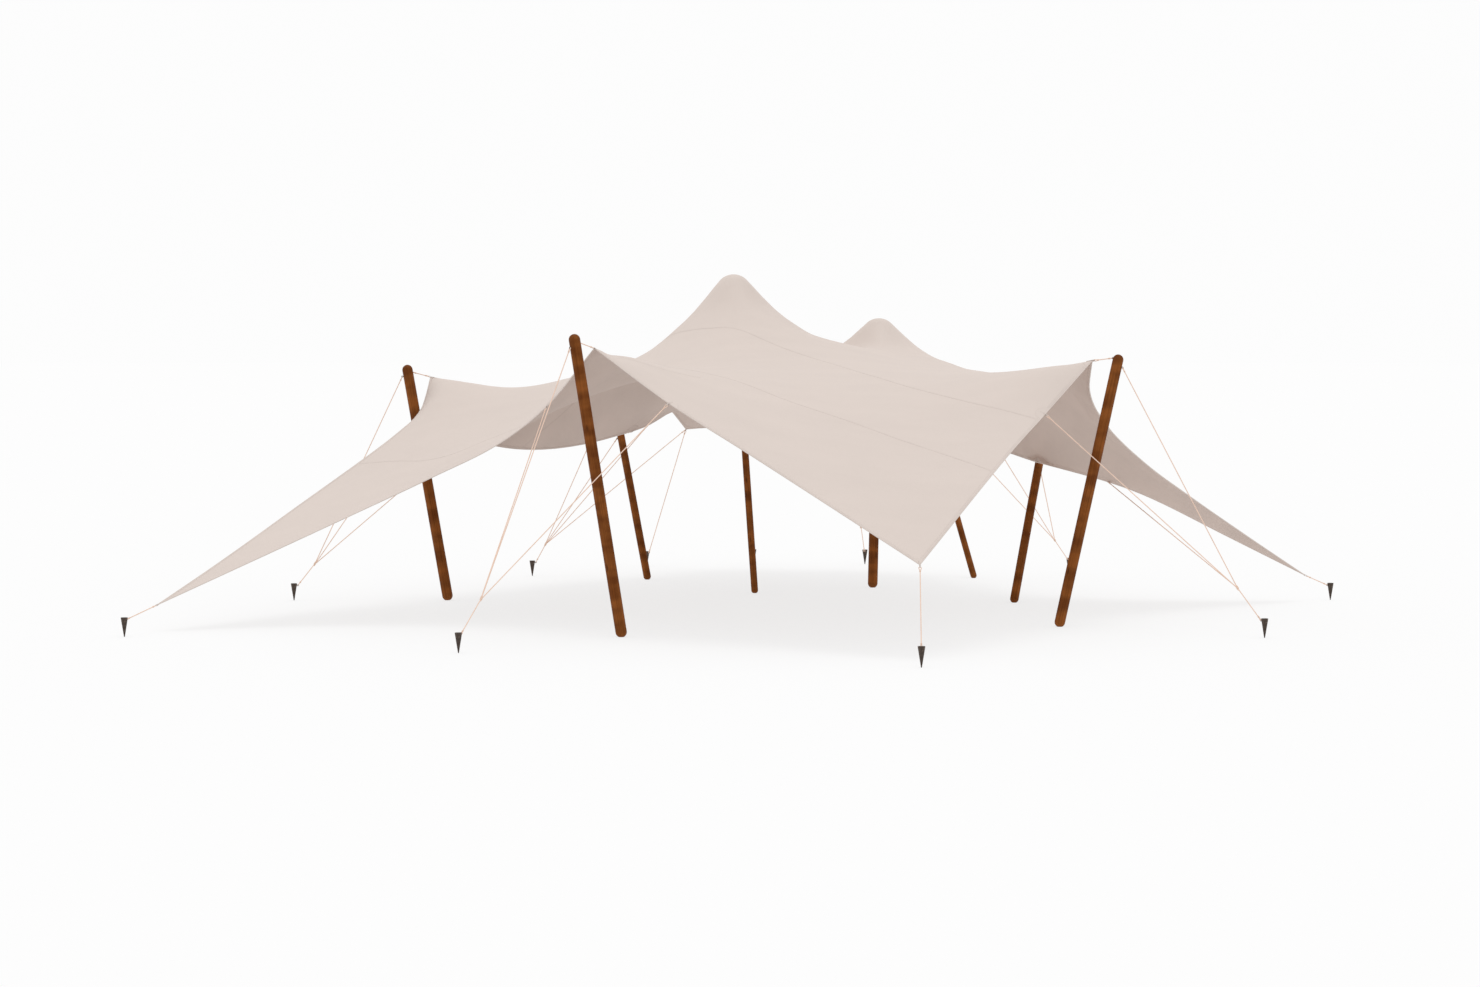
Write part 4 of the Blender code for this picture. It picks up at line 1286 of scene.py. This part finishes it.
def make_poles(wood, iron):
    shift = 0.0
    for key, (foot, top, radius) in POLES.items():
        shift += GRAIN_SHIFT
        wood_pole("wood_pole_" + key, "outer_pole_" + key, foot, top, radius, wood, shift, False)
        form = Form()
        for anchor, stem, axis in head_anchors(key):
            eye_ring(form, anchor, stem, axis)
        place_piece(form.piece("head_eyes_" + key, [iron], "stake_steel"))
    for key, (foot, crown, radius) in CENTRE_POLES.items():
        shift += GRAIN_SHIFT
        centre, top = CROWNS[crown]
        head = (*centre, top - PAD_DEPTH - PAD_SEAT + FOOT_CUT)
        wood_pole("wood_centre_pole_" + key, "centre_pole_" + key, foot, head, radius, wood, shift, True)


def pad_outlines(top, hub):
    """Half the section of a pad, and that of one of its ribs, for the height of the cloth's top."""
    def cap(radius):
        return dome(top, radius) - PAD_CLEAR

    floor = top - PAD_DEPTH
    edge = cap(PAD_RADIUS)
    outer = [(radius, cap(radius)) for radius in [PAD_RADIUS * k / PAD_STEPS for k in range(1, PAD_STEPS)]]
    rim = [(PAD_RADIUS - PAD_ROUND, cap(PAD_RADIUS - PAD_ROUND)), (PAD_RADIUS, edge - PAD_ROUND),
           (PAD_RADIUS, edge - PAD_RIM + PAD_ROUND), (PAD_RADIUS - PAD_ROUND, edge - PAD_RIM),
           (PAD_RADIUS - PAD_LIP[0], edge - PAD_RIM + PAD_LIP[1])]
    web = [(hub + PAD_WEB, cap(hub + PAD_WEB) - PAD_RIM)]
    web += [(hub + out, cap(hub) - PAD_RIM - down) for out, down in PAD_FILLET]
    foot = [(hub, floor + PAD_ROUND), (hub - PAD_ROUND, floor), (POINT, floor)]
    rib = [(hub - PAD_RIB_SUNK, floor + PAD_RIB_FOOT), (hub - PAD_RIB_SUNK, cap(hub) - PAD_RIB_SUNK),
           (PAD_RADIUS - PAD_RIB_ENDS[0], edge - PAD_RIB_SUNK),
           (PAD_RADIUS - PAD_RIB_ENDS[1], edge - PAD_RIM - PAD_RIB_SUNK)]
    return [(POINT, cap(0))] + outer + rim + web + foot, rib


def make_pads(rubber):
    """Domed rubber pads: a thin cap on a hub that takes the pole, with ribs between them."""
    for key, (_, crown, pole_radius) in CENTRE_POLES.items():
        centre, top = CROWNS[crown]
        section, rib = pad_outlines(top, pole_radius + PAD_HUB)
        form = Form()
        form.rings(turned(section, PAD_SIDES))
        for k in range(PAD_RIBS):
            a = 2 * math.pi * k / PAD_RIBS
            out, side = np.array([math.cos(a), math.sin(a), 0]), np.array([-math.sin(a), math.cos(a), 0])
            ring = [out * radius + np.array([0, 0, height]) for radius, height in rib]
            form.rings([[spot + side * half for spot in ring] for half in (-PAD_RIB_HALF, PAD_RIB_HALF)])
        piece = form.piece("rubber_pad_" + key, [rubber], "pad_rubber", crease=35)
        place_piece(piece, ["crown_pad_" + key], Matrix.Translation((*centre, 0)))


def make_stakes(iron):
    """Cone stakes that stand on their tips, each with a forged eye for its rope."""
    tip = [(POINT, 0.0)] + [(STAKE_TIP_RADIUS * share, height) for share, height in STAKE_TIP]
    heights = [STAKE_HEIGHT * k / STAKE_STEPS for k in range(1, STAKE_STEPS)]
    side = [(STAKE_TIP_RADIUS + STAKE_SLOPE * height, height) for height in heights]
    head = [(STAKE_TOP_RADIUS - away, STAKE_HEIGHT - down) for away, down in STAKE_HEAD]
    head.append((POINT, STAKE_HEIGHT - STAKE_DISH))
    for number, (key, (x, y)) in enumerate(STAKES.items()):
        form = Form()
        form.rings(turned(tip + side + head, STAKE_SIDES, STAKE_WAVE, number * STAKE_SHIFT))
        target = Vector(GUY_NODES[key]) if key in GUY_NODES else HEM_POINTS[key]
        anchor, stem, axis = stake_anchor(key, target)
        eye_ring(form, anchor - Vector((x, y, 0)), stem, axis)
        piece = form.piece("iron_stake_" + key, [iron], "stake_steel", crease=35)
        place_piece(piece, ["stake_" + key], Matrix.Translation((x, y, 0)))


def main():
    make_camera()
    make_stage()
    sheet = Sheet()
    cloths, hems, seams, patches, straps = [], [], [], [], []
    # On the underside, the lighter tone towards the right-hand side is painted light
    for face, (colour, streaks, mottling, right_lift, worn) in FACES.items():
        cloths.append(cloth_material("cloth_" + face, colour, streaks, mottling, right_lift))
        hems.append(sewn_material("hem_" + face, shade(colour, HEM_TONE), HEM_STITCHES, right_lift))
        seams.append(sewn_material("seam_" + face, shade(colour, worn), SEAM_STITCHES, right_lift / worn))
        patches.append(sewn_material("patch_" + face, colour, PATCH_STITCHES, right_lift))
        straps.append(sewn_material("strap_" + face, shade(colour, STRAP_TONE), STRAP_STITCHES, right_lift))
    cords = [fibre_material("laid_rope", ROPE_COLOUR), fibre_material("waxed_twine", TWINE_COLOUR)]
    wood, iron, rubber = wood_material(), iron_material(), rubber_material()

    cloth = canopy_sheet(sheet, cloths)
    place_piece(cloth, ["canopy"])
    trims = [canopy_hem(sheet, hems), canopy_seams(sheet, seams), canopy_patches(sheet, patches)]
    targets = make_ropes(sheet, cords)
    trims += [hem_tab(sheet, name, target, straps) for name, target in targets.items()]
    for piece in trims:
        place_piece(piece)
    make_poles(wood, iron)
    make_pads(rubber)
    make_stakes(iron)


main()
